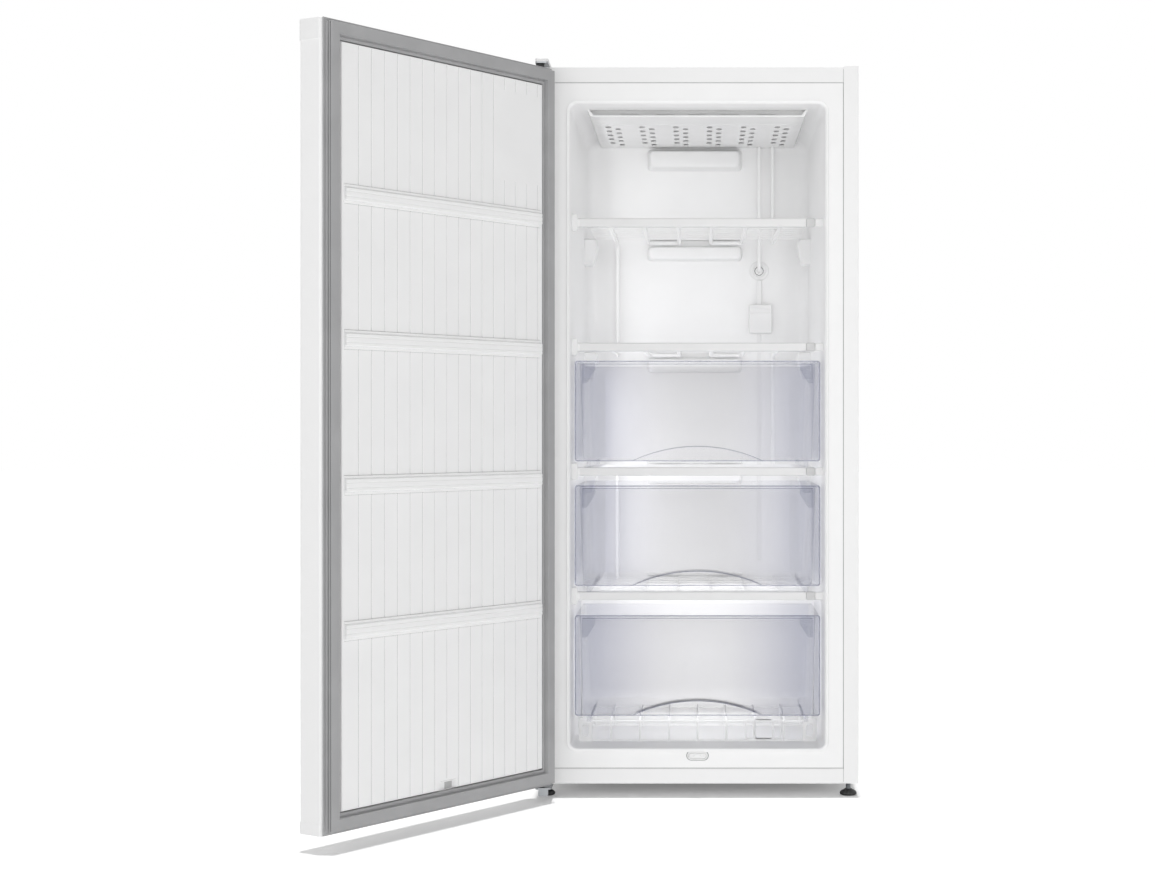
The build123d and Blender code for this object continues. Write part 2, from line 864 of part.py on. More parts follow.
cover_front = front + cover_setback
cover_back = liner_back - seat
with BuildPart() as ceiling_cover:
    block(
        (-cover_half_width, cover_front, cover_underside),
        (cover_half_width, cover_back, cover_underside + cover_thickness),
    )
    for side in (-1, 1):
        inner, outer = sorted((side * (cover_half_width - cover_rim), side * cover_half_width))
        block((inner, cover_front, cover_underside), (outer, cover_back, opening_top - seat))
    # Staggered slots in pairs of columns.
    with BuildSketch(Plane.XY.offset(cover_underside)):
        for column in range(2):
            shift_x = (column - 0.5) * slot_column_pitch
            first = front + slot_first_row + column * slot_stagger
            middle_y = first + (slot_rows - 1) * slot_row_pitch / 2
            with Locations((shift_x, middle_y)):
                with GridLocations(slot_group_pitch, slot_row_pitch, slot_groups, slot_rows):
                    Rectangle(slot_width, slot_length)
    extrude(amount=cover_thickness, mode=Mode.SUBTRACT)
    with BuildSketch(Plane.XY.offset(cover_underside)):
        with Locations((suction_x, riser_y), (last_run, riser_y)):
            add(round_hole(pipe_hole, fixing_sides))
    extrude(amount=cover_thickness, mode=Mode.SUBTRACT)
save(ceiling_cover, "ceiling_cover")

# Evaporator plate over the cover, with its channels pressed downwards.
with BuildPart() as ceiling_evaporator:
    plate_top = opening_top - seat
    block(
        (-plate_half_width, front + plate_front, plate_top - plate_thickness),
        (plate_half_width, front + plate_back, plate_top),
    )
    with BuildSketch(Plane.XZ.offset(-front - plate_front)):
        with Locations((0, plate_bottom + channel_height / 2)):
            with GridLocations(channel_pitch, 1, channel_count, 1):
                Trapezoid(channel_width, channel_height, channel_angle, rotation=180)
    extrude(amount=-(plate_back - plate_front))
save(ceiling_evaporator, "ceiling_evaporator")

# ============================ Pipe and sensor fittings ============================

with BuildPart() as pipe_grommet:
    with BuildSketch(Plane.XZ.offset(-liner_back)):
        with Locations((suction_x, grommet_z)):
            RegularPolygon(radius=grommet_radius, side_count=grommet_sides)
            add(round_hole(tube_radius + seat, fixing_sides), mode=Mode.SUBTRACT)
    extrude(amount=grommet_thickness)
save(pipe_grommet, "pipe_grommet")

with BuildPart() as sensor_housing:
    with BuildSketch(Plane.XZ.offset(-liner_back)):
        with Locations((sensor_middle, sensor_top - sensor_height / 2)):
            Rectangle(sensor_width, sensor_height)
    extrude(amount=sensor_depth)
    chamfer(sensor_housing.edges().group_by(Axis.Y)[0], trim_chamfer)
    # Cable duct up to the grommet.
    block(
        (suction_x - sensor_duct / 2, liner_back - sensor_duct, sensor_top),
        (suction_x + sensor_duct / 2, liner_back, grommet_z - grommet_radius),
    )
save(sensor_housing, "sensor_housing")

# Drain: an oval sleeve through the front of the floor, with a stopper that pulls out.
bore_width = drain_width - 2 * drain_wall
bore_height = drain_height - 2 * drain_wall
with BuildPart() as drain_spout:
    with BuildSketch(Plane.XZ.offset(-flange_front + drain_lip)):
        with Locations((0, drain_z)):
            add(oval(drain_width, drain_height))
    extrude(amount=-(drain_length + drain_lip))
    with BuildSketch(Plane.XZ.offset(-flange_front + drain_lip)):
        with Locations((0, drain_z)):
            add(oval(bore_width, bore_height))
    extrude(amount=-(plug_length + drain_lip), mode=Mode.SUBTRACT)
save(drain_spout, "drain_spout")

plug_front = flange_front - drain_lip
with BuildPart() as drain_plug:
    with BuildSketch(Plane.XZ.offset(-plug_front)):
        with Locations((0, drain_z)):
            add(oval(bore_width - 2 * seat, bore_height - 2 * seat))
    extrude(amount=-(plug_length + drain_lip - seat))
    block(
        (-plug_tab_width / 2, plug_front - plug_tab_reach, drain_z - plug_tab_height / 2),
        (plug_tab_width / 2, plug_front, drain_z + plug_tab_height / 2),
    )
save(drain_plug, "drain_plug")


# ============================ Floor rack ============================


def rod(start, end):
    """Coated wire of four sides between two points."""
    direction = Vector(*end) - Vector(*start)
    with BuildPart() as wire:
        with BuildSketch(Plane(origin=start, z_dir=direction)):
            Rectangle(2 * rack_wire, 2 * rack_wire)
        extrude(amount=direction.length)
    return wire.part


wire_room = 2 * rack_wire + seat / 2
runner_z = rack_top - rack_wire
rail_z = runner_z - wire_room
foot_rail_z = opening_bottom + seat + rack_wire
upright_xs = [(k - (rack_uprights - 1) / 2) * rack_pitch for k in range(rack_uprights)]
with BuildPart() as floor_rack:
    for x in [-skid_x, *upright_xs, skid_x]:
        add(rod((x, front + rack_front, runner_z), (x, front + rack_back, runner_z)))
    for y in (front + rack_front, front + rack_back - rack_wire):
        for z in (rail_z, foot_rail_z):
            add(rod((-rack_half_width, y, z), (rack_half_width, y, z)))
        for x in [-skid_x, *upright_xs, skid_x]:
            low_end = foot_rail_z + rack_wire + seat / 2
            add(rod((x, y, low_end), (x, y, rail_z - rack_wire - seat / 2)))
    # End clips stand on the floor in front of the wires.
    for side in (-1, 1):
        clip_x = side * (rack_half_width - seat)
        with BuildSketch(Plane.XZ.offset(-front - rack_front + rack_wire + seat / 2)):
            with Locations((clip_x, opening_bottom + seat + rack_height / 2)):
                Rectangle(rack_clip_width, rack_height)
                Rectangle(rack_clip_window, rack_height / 2, mode=Mode.SUBTRACT)
        extrude(amount=rack_clip_wall)
save(floor_rack, "floor_rack")


# ============================ Drawers ============================


def finger_arch(bottom, grow, depth):
    """The arched finger scoop under a drawer's front, grown by a wall."""
    with BuildPart() as arch:
        with BuildSketch(Plane.XZ.offset(-drawer_front)):
            with BuildLine():
                ThreePointArc(
                    (-arch_width / 2 - grow, bottom),
                    (0, bottom + arch_height + grow),
                    (arch_width / 2 + grow, bottom),
                )
                Line((arch_width / 2 + grow, bottom), (-arch_width / 2 - grow, bottom))
            make_face()
        extrude(amount=-depth - grow)
    return arch.part


def drawer_space(bottom, length, inset):
    """The drawer's body, inset by a wall, over a finger scoop that is grown by the same wall."""
    near, far = drawer_front + inset, drawer_front + length - inset
    low, high = bottom + inset, bottom + drawer_height
    half = drawer_body_half - inset
    half_low = half - drawer_draft
    with BuildPart() as space:
        # The side view, with a leaning back, meets the front view, with leaning sides.
        with BuildSketch(Plane.YZ):
            with BuildLine():
                Polyline((near, low), (near, high), (far, high), (far - drawer_draft, low), close=True)
            make_face()
        extrude(amount=half, both=True)
        with BuildSketch(Plane.XZ.offset(-drawer_front)):
            with BuildLine():
                Polyline((-half, high), (half, high), (half_low, low), (-half_low, low), close=True)
            make_face()
        extrude(amount=-length, mode=Mode.INTERSECT)
        add(finger_arch(bottom, inset, scoop_depth), mode=Mode.SUBTRACT)
    return space.part


def drawer(bottom, length):
    """A transparent drawer whose floor is at this height, with a tall front and two skids."""
    rim_bottom = bottom + drawer_height - drawer_rim_height
    rim_half = drawer_body_half + drawer_rim
    with BuildPart() as tub:
        add(drawer_space(bottom, length, 0))
        with BuildSketch(Plane.XZ.offset(-drawer_front)):
            with Locations((0, bottom + drawer_height / 2)):
                add(soft_rectangle(2 * drawer_half_width, drawer_height, drawer_front_corner))
        extrude(amount=-drawer_wall)
        block(
            (-rim_half, drawer_front + drawer_wall, rim_bottom),
            (rim_half, drawer_front + length + drawer_rim, rim_bottom + drawer_rim_height),
        )
        add(drawer_space(bottom, length, drawer_wall), mode=Mode.SUBTRACT)
        add(finger_arch(bottom, 0, drawer_wall), mode=Mode.SUBTRACT)
        for side in (-1, 1):
            inner, outer = (side * skid_x + step * drawer_skid_width / 2 for step in (-1, 1))
            block(
                (inner, drawer_front, bottom - drawer_skid),
                (outer, drawer_front + length - drawer_draft, bottom),
            )
    return tub


rail_tops = [level + rail_height / 2 for level in shelf_levels]
drawer_seats = [
    (rail_tops[1], drawer_length),
    (rail_tops[0], drawer_length),
    (rack_top, short_drawer_length),
]
for number, (support, length) in enumerate(drawer_seats, start=1):
    save(drawer(support + seat + drawer_skid, length), f"drawer_{number}")


# ============================ Hinges ============================

def hinge_outline(arm, inset=0.0):
    """The strap of a hinge seen from above, from the cabinet to its rounded end over the door."""
    nose_y = arm_front + hinge_rounding
    strap_back = front + hinge_leaf - inset
    with BuildSketch() as outline:
        with Locations((arm_left + arm / 2, nose_y)):
            add(oval(arm - 2 * inset, 2 * (hinge_rounding - inset)))
        with Locations((arm_left + arm / 2, (nose_y + strap_back) / 2)):
            Rectangle(arm - 2 * inset, strap_back - nose_y)
    return outline.sketch


with BuildPart() as hinge_bracket_top:
    with BuildSketch(Plane.XY.offset(cabinet_top)):
        add(hinge_outline(upper_arm))
    extrude(amount=hinge_plate)
    with Locations((pivot_x, pivot_y, cabinet_top)):
        Cylinder(pin_radius, 3 * hinge_plate, mode=Mode.SUBTRACT)
    add(hinge_screws.part, mode=Mode.SUBTRACT)
save(hinge_bracket_top, "hinge_bracket_top")

with BuildPart() as hinge_cover:
    with BuildSketch(Plane.XY.offset(plate_over)):
        add(hinge_outline(upper_arm))
    extrude(amount=hinge_cover_height)
    chamfer(hinge_cover.edges().group_by(Axis.Z)[-1], hinge_cover_chamfer)
    with BuildSketch(Plane.XY.offset(plate_over)):
        add(hinge_outline(upper_arm, hinge_cover_wall))
    extrude(amount=hinge_cover_height - hinge_cover_wall, mode=Mode.SUBTRACT)
save(hinge_cover, "hinge_cover")

# Pins: riveted in the plates, each with a head and a shank that reaches into the door.
with BuildPart() as hinge_pins:
    for plate_face, outward in ((plate_over, 1), (plate_under, -1)):
        door_end = door_top if outward > 0 else door_bottom
        with BuildSketch(Plane.XY.offset(plate_face)):
            with Locations((pivot_x, pivot_y)):
                RegularPolygon(radius=pin_head_radius, side_count=round_sides)
        extrude(amount=outward * pin_head)
        with BuildSketch(Plane.XY.offset(plate_face)):
            with Locations((pivot_x, pivot_y)):
                Circle(pin_radius)
        extrude(amount=-outward * (abs(plate_face - door_end) + pin_depth))
save(hinge_pins, "hinge_pins")

# The lower one has a lip turned down in front of it.
with BuildPart() as hinge_bracket_bottom:
    with BuildSketch(Plane.XY.offset(plate_under)):
        add(hinge_outline(lower_arm))
    extrude(amount=hinge_plate)
    with BuildSketch(Plane.XZ.offset(-arm_front)):
        with Locations((arm_left + lower_arm / 2, underside - hinge_lip / 2)):
            Rectangle(lower_arm - 2 * hinge_rounding, hinge_lip)
    extrude(amount=-hinge_plate)
    with Locations((pivot_x, pivot_y, underside)):
        Cylinder(pin_radius, 3 * hinge_plate, mode=Mode.SUBTRACT)
    with BuildSketch(Plane.XY.offset(plate_under)):
        with Locations((-foot_x, foot_y)):
            add(round_hole(stud_radius + seat, foot_sides))
    extrude(amount=hinge_plate, mode=Mode.SUBTRACT)
    add(hinge_screws.part, mode=Mode.SUBTRACT)
save(hinge_bracket_bottom, "hinge_bracket_bottom")


# ============================ Feet and rollers ============================

# Feet: a base with flat sides, which is turned by hand, under a stud.
for side, name in ((-1, "foot_left"), (1, "foot_right")):
    with BuildPart() as foot:
        with BuildSketch():
            with Locations((side * foot_x, foot_y)):
                RegularPolygon(radius=foot_radius, side_count=foot_sides)
        extrude(amount=foot_height, taper=foot_taper)
        with BuildSketch(Plane.XY.offset(foot_height)):
            with Locations((side * foot_x, foot_y)):
                RegularPolygon(radius=stud_radius, side_count=foot_sides)
        extrude(amount=stud_length)
    save(foot, name)

with BuildPart() as leg_bushes:
    with BuildSketch(Plane.XY.offset(pan_top)):
        with Locations((-foot_x, foot_y), (foot_x, foot_y)):
            RegularPolygon(radius=leg_bush_radius, side_count=fixing_sides)
            add(round_hole(stud_radius + running_fit, foot_sides), mode=Mode.SUBTRACT)
    extrude(amount=leg_bush_height)
save(leg_bushes, "leg_bushes")

for side, name in ((-1, "roller_left"), (1, "roller_right")):
    with BuildPart() as roller:
        with BuildSketch(Plane.YZ.offset(side * roller_x - roller_width / 2)):
            with Locations((roller_y, axle_z)):
                RegularPolygon(radius=roller_radius, side_count=roller_sides)
                add(round_hole(axle_radius + running_fit, round_sides), mode=Mode.SUBTRACT)
        extrude(amount=roller_width)
    save(roller, name)

# Axles: turned under the rollers, with six-sided ends that can't turn in the forks.
with BuildPart() as roller_axles:
    for side in (-1, 1):
        with BuildSketch(Plane.YZ.offset(side * roller_x - fork_half)):
            with Locations((roller_y, axle_z)):
                RegularPolygon(radius=axle_radius, side_count=round_sides)
        extrude(amount=2 * fork_half)
        for cheek in (side * roller_x - fork_half - fork_plate, side * roller_x + fork_half):
            with BuildSketch(Plane.YZ.offset(cheek)):
                with Locations((roller_y, axle_z)):
                    RegularPolygon(radius=axle_radius, side_count=6)
            extrude(amount=fork_plate)
save(roller_axles, "roller_axles")

# Forks: cheeks through the carrier, bridged over the roller.
bridge_z = axle_z + roller_radius + fork_clearance
fork_outer = fork_half + fork_plate
with BuildPart() as roller_forks:
    for side in (-1, 1):
        block(
            (side * roller_x - fork_outer, roller_y - fork_length / 2, axle_z - fork_drop),
            (side * roller_x + fork_outer, roller_y + fork_length / 2, bridge_z + fork_plate),
        )
        block(
            (side * roller_x - fork_half, roller_y - fork_length / 2, axle_z - fork_drop),
            (side * roller_x + fork_half, roller_y + fork_length / 2, bridge_z),
            mode=Mode.SUBTRACT,
        )
    add(roller_axles.part, mode=Mode.SUBTRACT)
save(roller_forks, "roller_forks")


# ============================ Machinery ============================

carrier_fold = [
    (carrier_y[1], underside + carrier_lip),
    (carrier_y[1], underside),
    (carrier_y[0], underside),
]
with BuildPart() as compressor_carrier:
    with BuildSketch(Plane.YZ):
        add(folded_section(carrier_fold, rail_plate))
    extrude(amount=inner_half, both=True)
    for side in (-1, 1):
        window = roller_radius + fork_clearance
        block(
            (side * roller_x - fork_outer, roller_y - window, underside),
            (side * roller_x + fork_outer, roller_y + window, carrier_top),
            mode=Mode.SUBTRACT,
        )
    with BuildSketch(Plane.XZ.offset(-carrier_y[1])):
        with Locations((gland_x, gland_z)):
            RegularPolygon(radius=gland_radius, side_count=fixing_sides)
    extrude(amount=2 * rail_plate, both=True, mode=Mode.SUBTRACT)
save(compressor_carrier, "compressor_carrier")

with BuildPart() as cord_gland:
    with BuildSketch(Plane.XZ.offset(-carrier_y[1] - gland_length / 3)):
        with Locations((gland_x, gland_z)):
            RegularPolygon(radius=gland_radius, side_count=fixing_sides)
            RegularPolygon(radius=gland_bore, side_count=fixing_sides, mode=Mode.SUBTRACT)
    extrude(amount=gland_length)
save(cord_gland, "cord_gland")

mount_places = [
    (compressor_x + i * mount_half_x, compressor_y + j * mount_half_y)
    for i in (-1, 1)
    for j in (-1, 1)
]
with BuildPart() as compressor_mounts:
    with BuildSketch(Plane.XY.offset(carrier_top)):
        with Locations(*mount_places):
            RegularPolygon(radius=mount_radius, side_count=fixing_sides)
    extrude(amount=mount_height)
save(compressor_mounts, "compressor_mounts")

# Compressor: two drawn steel shells with a welded rim, on a foot plate.
rim_radius = compressor_radius + compressor_seam_rim
rim_bottom = compressor_bottom + compressor_seam - compressor_seam_height / 2
with BuildPart() as compressor:
    with BuildSketch(Plane.XY.offset(compressor_bottom)):
        with Locations((compressor_x, compressor_y)):
            RegularPolygon(radius=compressor_radius, side_count=shell_sides)
    extrude(amount=compressor_height)
    chamfer(compressor.faces().sort_by(Axis.Z)[-1].edges(), compressor_shoulder)
    with BuildSketch(Plane.XY.offset(rim_bottom)):
        with Locations((compressor_x, compressor_y)):
            RegularPolygon(radius=rim_radius, side_count=shell_sides)
    extrude(amount=compressor_seam_height)
    with BuildSketch(Plane.XY.offset(compressor_bottom)):
        with Locations((compressor_x, compressor_y)):
            Rectangle(
                2 * (mount_half_x + compressor_foot_margin),
                2 * (mount_half_y + compressor_foot_margin),
            )
    extrude(amount=-compressor_foot)
save(compressor, "compressor")

with BuildPart() as relay_cover:
    relay_left = compressor_x + compressor_radius - relay_depth / 4
    block(
        (relay_left, compressor_y - relay_width / 2, relay_z),
        (relay_left + relay_depth, compressor_y + relay_width / 2, relay_z + relay_height),
    )
    fillet(relay_cover.edges().filter_by(Axis.Z).group_by(Axis.X)[-1], relay_rounding)
    with BuildSketch(Plane.XY.offset(relay_z)):
        with Locations((compressor_x, compressor_y)):
            RegularPolygon(radius=rim_radius + seat, side_count=shell_sides)
    extrude(amount=relay_height, mode=Mode.SUBTRACT)
save(relay_cover, "relay_cover")

pipe_lid = machine_top - seat
pipe_step = machine_front + seat
with BuildPart() as machine_pipes:
    shell_left = compressor_x - compressor_radius - seat
    discharge = [
        (shell_left, compressor_y, discharge_z),
        (discharge_x, compressor_y, discharge_z),
        (discharge_x, pipe_step, discharge_z),
    ]
    shell_front = compressor_y - compressor_radius - seat
    suction = [
        (compressor_x, shell_front, suction_z),
        (compressor_x, pipe_y, suction_z),
        (compressor_x, pipe_y, pipe_lid),
    ]
    capillary = [
        (dryer_x, pipe_y, dryer_bottom - dryer_radius - seat),
        (dryer_x, pipe_y, capillary_z),
        (dryer_x, pipe_step, capillary_z),
    ]
    for route in (discharge, suction, capillary):
        add(bent_tube(route, pipe_radius, pipe_bend, tube_sides))
save(machine_pipes, "machine_pipes")

# Filter dryer: a copper cartridge with cone ends, and the pipe that leads up from it.
with BuildPart() as filter_dryer:
    with BuildSketch(Plane.XY.offset(dryer_bottom - dryer_radius)):
        with Locations((dryer_x, pipe_y)):
            RegularPolygon(radius=dryer_radius, side_count=fixing_sides)
    extrude(amount=dryer_length + 2 * dryer_radius)
    chamfer(filter_dryer.faces().filter_by(Axis.Z).edges(), length=dryer_radius - pipe_radius)
    with BuildSketch(Plane.XY.offset(dryer_bottom + dryer_length + dryer_radius)):
        with Locations((dryer_x, pipe_y)):
            RegularPolygon(radius=pipe_radius, side_count=fixing_sides)
    extrude(amount=pipe_lid - dryer_bottom - dryer_length - dryer_radius)
save(filter_dryer, "filter_dryer")


# ============================ Door ============================

skin_fold = [
    (door_half_width - door_return, door_seat),
    (door_half_width, door_seat),
    (door_half_width, door_outer),
    (-door_half_width, door_outer),
    (-door_half_width, door_seat),
    (-door_half_width + door_return, door_seat),
]
cup_left = door_half_width - cup_inset - cup_width
cup_middle = (cup_left + cup_width / 2, cup_z)


def cup_sketch(growth):
    """The rounded outline of the handle cup, grown or shrunk."""
    with BuildSketch() as outline:
        with Locations(cup_middle):
            add(soft_rectangle(cup_width + 2 * growth, cup_height + 2 * growth, cup_corner + growth))
    return outline.sketch


with BuildPart() as door_outer_panel:
    with BuildSketch(Plane.XY.offset(skin_bottom)):
        add(folded_section(skin_fold, sheet, door_corner))
    extrude(amount=skin_top - skin_bottom)
    with BuildSketch(Plane.XZ.offset(-door_outer)):
        add(cup_sketch(0))
    extrude(amount=-sheet, mode=Mode.SUBTRACT)
hang(door_outer_panel, "door_outer_panel")

with BuildPart() as door_handle_cup:
    with BuildSketch(Plane.XZ.offset(-door_outer)):
        add(cup_sketch(cup_flange))
    extrude(amount=cup_flange_thickness)
    with BuildSketch(Plane.XZ.offset(-door_outer)):
        add(cup_sketch(0))
    extrude(amount=-cup_depth)
    with BuildSketch(Plane.XZ.offset(-door_outer + cup_flange_thickness)):
        add(cup_sketch(-cup_wall))
    extrude(amount=-(cup_depth + cup_flange_thickness - cup_wall), mode=Mode.SUBTRACT)
hang(door_handle_cup, "door_handle_cup")


def bush_socket(end, inward):
    """The hole in one end of the door that its hinge bush fills."""
    with BuildPart() as socket:
        with BuildSketch(Plane.XY.offset(end)):
            with Locations((pivot_x, pivot_y)):
                RegularPolygon(radius=bush_radius, side_count=fixing_sides)
        extrude(amount=inward * (pin_depth + seat))
    return socket.part


def door_cap(low, high, closed_end, inward):
    """A hollow moulded cap over one end of the door, open towards the insulation."""
    outer_y = door_outer - cap_oversize
    middle_y = (outer_y + door_seat) / 2
    depth = door_seat - outer_y
    width = 2 * (door_half_width + cap_oversize)
    with BuildPart() as cap:
        with BuildSketch(Plane.XY.offset(low)):
            with Locations((0, middle_y)):
                add(soft_rectangle(width, depth, door_corner))
        extrude(amount=high - low)
        chamfer(cap.faces().sort_by(Axis.Z)[0 if inward > 0 else -1].edges(), cap_chamfer)
        with BuildSketch(Plane.XY.offset(low if closed_end == high else low + cap_wall)):
            with Locations((0, middle_y)):
                add(soft_rectangle(width - 2 * cap_wall, depth - 2 * cap_wall, door_corner - cap_wall))
        extrude(amount=high - low - cap_wall, mode=Mode.SUBTRACT)
        with BuildSketch(Plane.XY.offset(low)):
            with Locations((pivot_x, pivot_y)):
                RegularPolygon(radius=bush_radius + cap_wall, side_count=fixing_sides)
        extrude(amount=high - low)
        add(bush_socket(closed_end, inward), mode=Mode.SUBTRACT)
    return cap


hang(door_cap(skin_top, door_top, door_top, -1), "door_top_cap")
hang(door_cap(door_bottom, skin_bottom, door_bottom, 1), "door_bottom_cap")

# Bushes: sleeves in the caps, with collars that space the door from the hinge plates.
with BuildPart() as door_hinge_bushes:
    for end, collar, inward in (
        (door_top, cabinet_top - door_top - seat, -1),
        (door_bottom, underside - door_bottom + seat, 1),
    ):
        with BuildSketch(Plane.XY.offset(end)):
            with Locations((pivot_x, pivot_y)):
                RegularPolygon(radius=bush_radius, side_count=fixing_sides)
        extrude(amount=inward * (pin_depth + seat))
        with BuildSketch(Plane.XY.offset(end)):
            with Locations((pivot_x, pivot_y)):
                RegularPolygon(radius=collar_radius, side_count=2 * fixing_sides)
        extrude(amount=collar)
        with BuildSketch(Plane.XY.offset(end + collar)):
            with Locations((pivot_x, pivot_y)):
                add(round_hole(pin_radius + running_fit, round_sides))
        extrude(amount=inward * (pin_depth + abs(collar) + seat), mode=Mode.SUBTRACT)
hang(door_hinge_bushes, "door_hinge_bushes")


def plateau(growth, low_y):
    """The raised field of the door liner, shrunk by a wall, with the notch over the drain."""
    with BuildPart() as field:
        block(
            (-plateau_half + growth, low_y, plateau_bottom + growth),
            (plateau_half - growth, plateau_face - growth, plateau_top - growth),
        )
        block(
            (-notch_width / 2 - growth, low_y, plateau_bottom),
            (notch_width / 2 + growth, plateau_face, plateau_bottom + notch_height + growth),
            mode=Mode.SUBTRACT,
        )
    return field.part


rib_xs = [-door_half_width + first_rib + k * rib_pitch for k in range(rib_count)]
moulding_section = [
    (-rib_depth, -moulding_height / 2),
    (moulding_step, -moulding_height / 2),
    (moulding_step, -moulding_height / 2 + moulding_ledge),
    (moulding_projection, -moulding_height / 2 + moulding_ledge + moulding_slope),
    (moulding_projection, moulding_height / 2 - moulding_ledge - moulding_slope),
    (moulding_step, moulding_height / 2 - moulding_ledge),
    (moulding_step, moulding_height / 2),
    (-rib_depth, moulding_height / 2),
]
rib_bottom = plateau_bottom + notch_height + rib_end
rib_top = plateau_top - rib_end
with BuildPart() as door_liner:
    block(
        (-door_half_width + cap_wall, door_seat, door_bottom + cap_wall),
        (door_half_width - cap_wall, door_inner, door_top - cap_wall),
    )
    add(plateau(0, door_inner))
    chamfer(door_liner.faces().sort_by(Axis.Y)[-1].edges(), plateau_bevel)
    add(plateau(door_liner_wall, door_seat), mode=Mode.SUBTRACT)
    # Vertical ribs: narrow grooves, left out in the smooth field.
    for low, high, xs in (
        (rib_bottom, blank_bottom, rib_xs[:blank_ribs]),
        (blank_top, rib_top, rib_xs[:blank_ribs]),
        (rib_bottom, rib_top, rib_xs[blank_ribs:]),
    ):
        with BuildSketch(Plane.XY.offset(low)):
            with Locations(*[(x, plateau_face) for x in xs]):
                Polygon((-rib_width / 2, 0), (rib_width / 2, 0), (0, -rib_depth), align=None)
        extrude(amount=high - low, mode=Mode.SUBTRACT)
    # Level mouldings across the ribs.
    for level in moulding_levels:
        with BuildSketch(Plane.YZ.offset(-plateau_half + moulding_inset)):
            with BuildLine():
                Polyline(*[(plateau_face + y, level + z) for y, z in moulding_section], close=True)
            make_face()
        extrude(amount=2 * (plateau_half - moulding_inset))
hang(door_liner, "door_liner")

with BuildPart() as door_insulation:
    block(
        (-door_half_width + sheet, door_outer + sheet, skin_bottom),
        (door_half_width - sheet, door_seat - sheet, skin_top),
    )
    fillet(door_insulation.edges().filter_by(Axis.Z).group_by(Axis.Y)[0], door_corner - sheet)
    fillet(door_insulation.edges().filter_by(Axis.Z).group_by(Axis.Y)[-1], door_corner - sheet)
    block(
        (-door_half_width + door_return, door_outer + door_thickness / 2, skin_bottom),
        (door_half_width - door_return, door_seat, skin_top),
    )
    add(plateau(door_liner_wall, door_seat))
    with BuildSketch(Plane.XZ.offset(-door_outer)):
        add(cup_sketch(0))
    extrude(amount=-cup_depth, mode=Mode.SUBTRACT)
    add(bush_socket(door_top, -1), mode=Mode.SUBTRACT)
    add(bush_socket(door_bottom, 1), mode=Mode.SUBTRACT)
hang(door_insulation, "door_insulation")


# ============================ Gasket ============================


def gasket_ring(outer_inset, inner_inset, low, high):
    """A rectangular ring on the door's inner face, between two heights above it."""
    with BuildPart() as ring:
        with BuildSketch(Plane.XZ.offset(-door_inner - low)):
            with Locations((0, door_middle)):
                Rectangle(2 * (ring_half - outer_inset), ring_top - ring_bottom - 2 * outer_inset)
                Rectangle(
                    2 * (ring_half - inner_inset),
                    ring_top - ring_bottom - 2 * inner_inset,
                    mode=Mode.SUBTRACT,
                )
        extrude(amount=low - high)
    return ring.part


head_low = gasket_foot + bellows_height
magnet_low = (head_low + gasket_height - magnet_thickness) / 2
magnet_high = magnet_low + magnet_thickness
magnet_inset = (gasket_head - magnet_width) / 2
magnet_end = magnet_inset + magnet_width
with BuildPart() as door_gasket:
    add(gasket_ring(0, gasket_width, 0, gasket_foot))
    add(gasket_ring(bellows_depth, gasket_head, gasket_foot, head_low))
    add(gasket_ring(0, gasket_head, head_low, gasket_height))
    add(gasket_ring(gasket_width - gasket_lip, gasket_width, gasket_foot, gasket_height - sheet))
    add(gasket_ring(magnet_inset, magnet_end, magnet_low, magnet_high), mode=Mode.SUBTRACT)
hang(door_gasket, "door_gasket")

with BuildPart() as gasket_magnets:
    add(gasket_ring(magnet_inset, magnet_end, magnet_low, magnet_high))
hang(gasket_magnets, "gasket_magnets")
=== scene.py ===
# %% [markdown]
# # An upright freezer with its door open
#
# The CAD model is loaded first and stays where it is. Each cell then dresses one part of it:
# a finer surface where the CAD solid is faceted, and a finish for everything that shows.
# All sizes below are in millimetres, in the frame of the CAD model, and each mesh is turned
# into metres when it is made. X runs to the viewer's right, Y to the back and Z up.

# %% Load the frame
import math

import bmesh
import bpy
import numpy as np
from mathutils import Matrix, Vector


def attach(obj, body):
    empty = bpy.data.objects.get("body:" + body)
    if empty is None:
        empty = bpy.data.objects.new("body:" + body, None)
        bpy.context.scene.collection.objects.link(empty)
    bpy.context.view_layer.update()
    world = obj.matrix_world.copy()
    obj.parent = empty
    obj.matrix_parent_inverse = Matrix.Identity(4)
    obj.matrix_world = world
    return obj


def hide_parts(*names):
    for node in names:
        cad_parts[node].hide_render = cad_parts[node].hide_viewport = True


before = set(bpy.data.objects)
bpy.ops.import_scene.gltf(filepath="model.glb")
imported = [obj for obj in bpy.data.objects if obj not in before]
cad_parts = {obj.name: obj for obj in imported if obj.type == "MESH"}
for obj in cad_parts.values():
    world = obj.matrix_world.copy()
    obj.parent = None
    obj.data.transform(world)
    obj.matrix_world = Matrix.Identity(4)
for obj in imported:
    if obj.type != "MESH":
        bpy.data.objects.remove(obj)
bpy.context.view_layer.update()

MM = 0.001
FRONT = -295.0  # the cabinet's front plane
SIDEWAYS, UP = (1, 0, 0), (0, 0, 1)

# %% [markdown]
# ## Camera
# The photograph was taken from straight ahead, at about half the freezer's height. Its vertical
# lines are upright. A tilted camera would make them lean, so this one is level and its lens is
# shifted instead, as an architect's is.

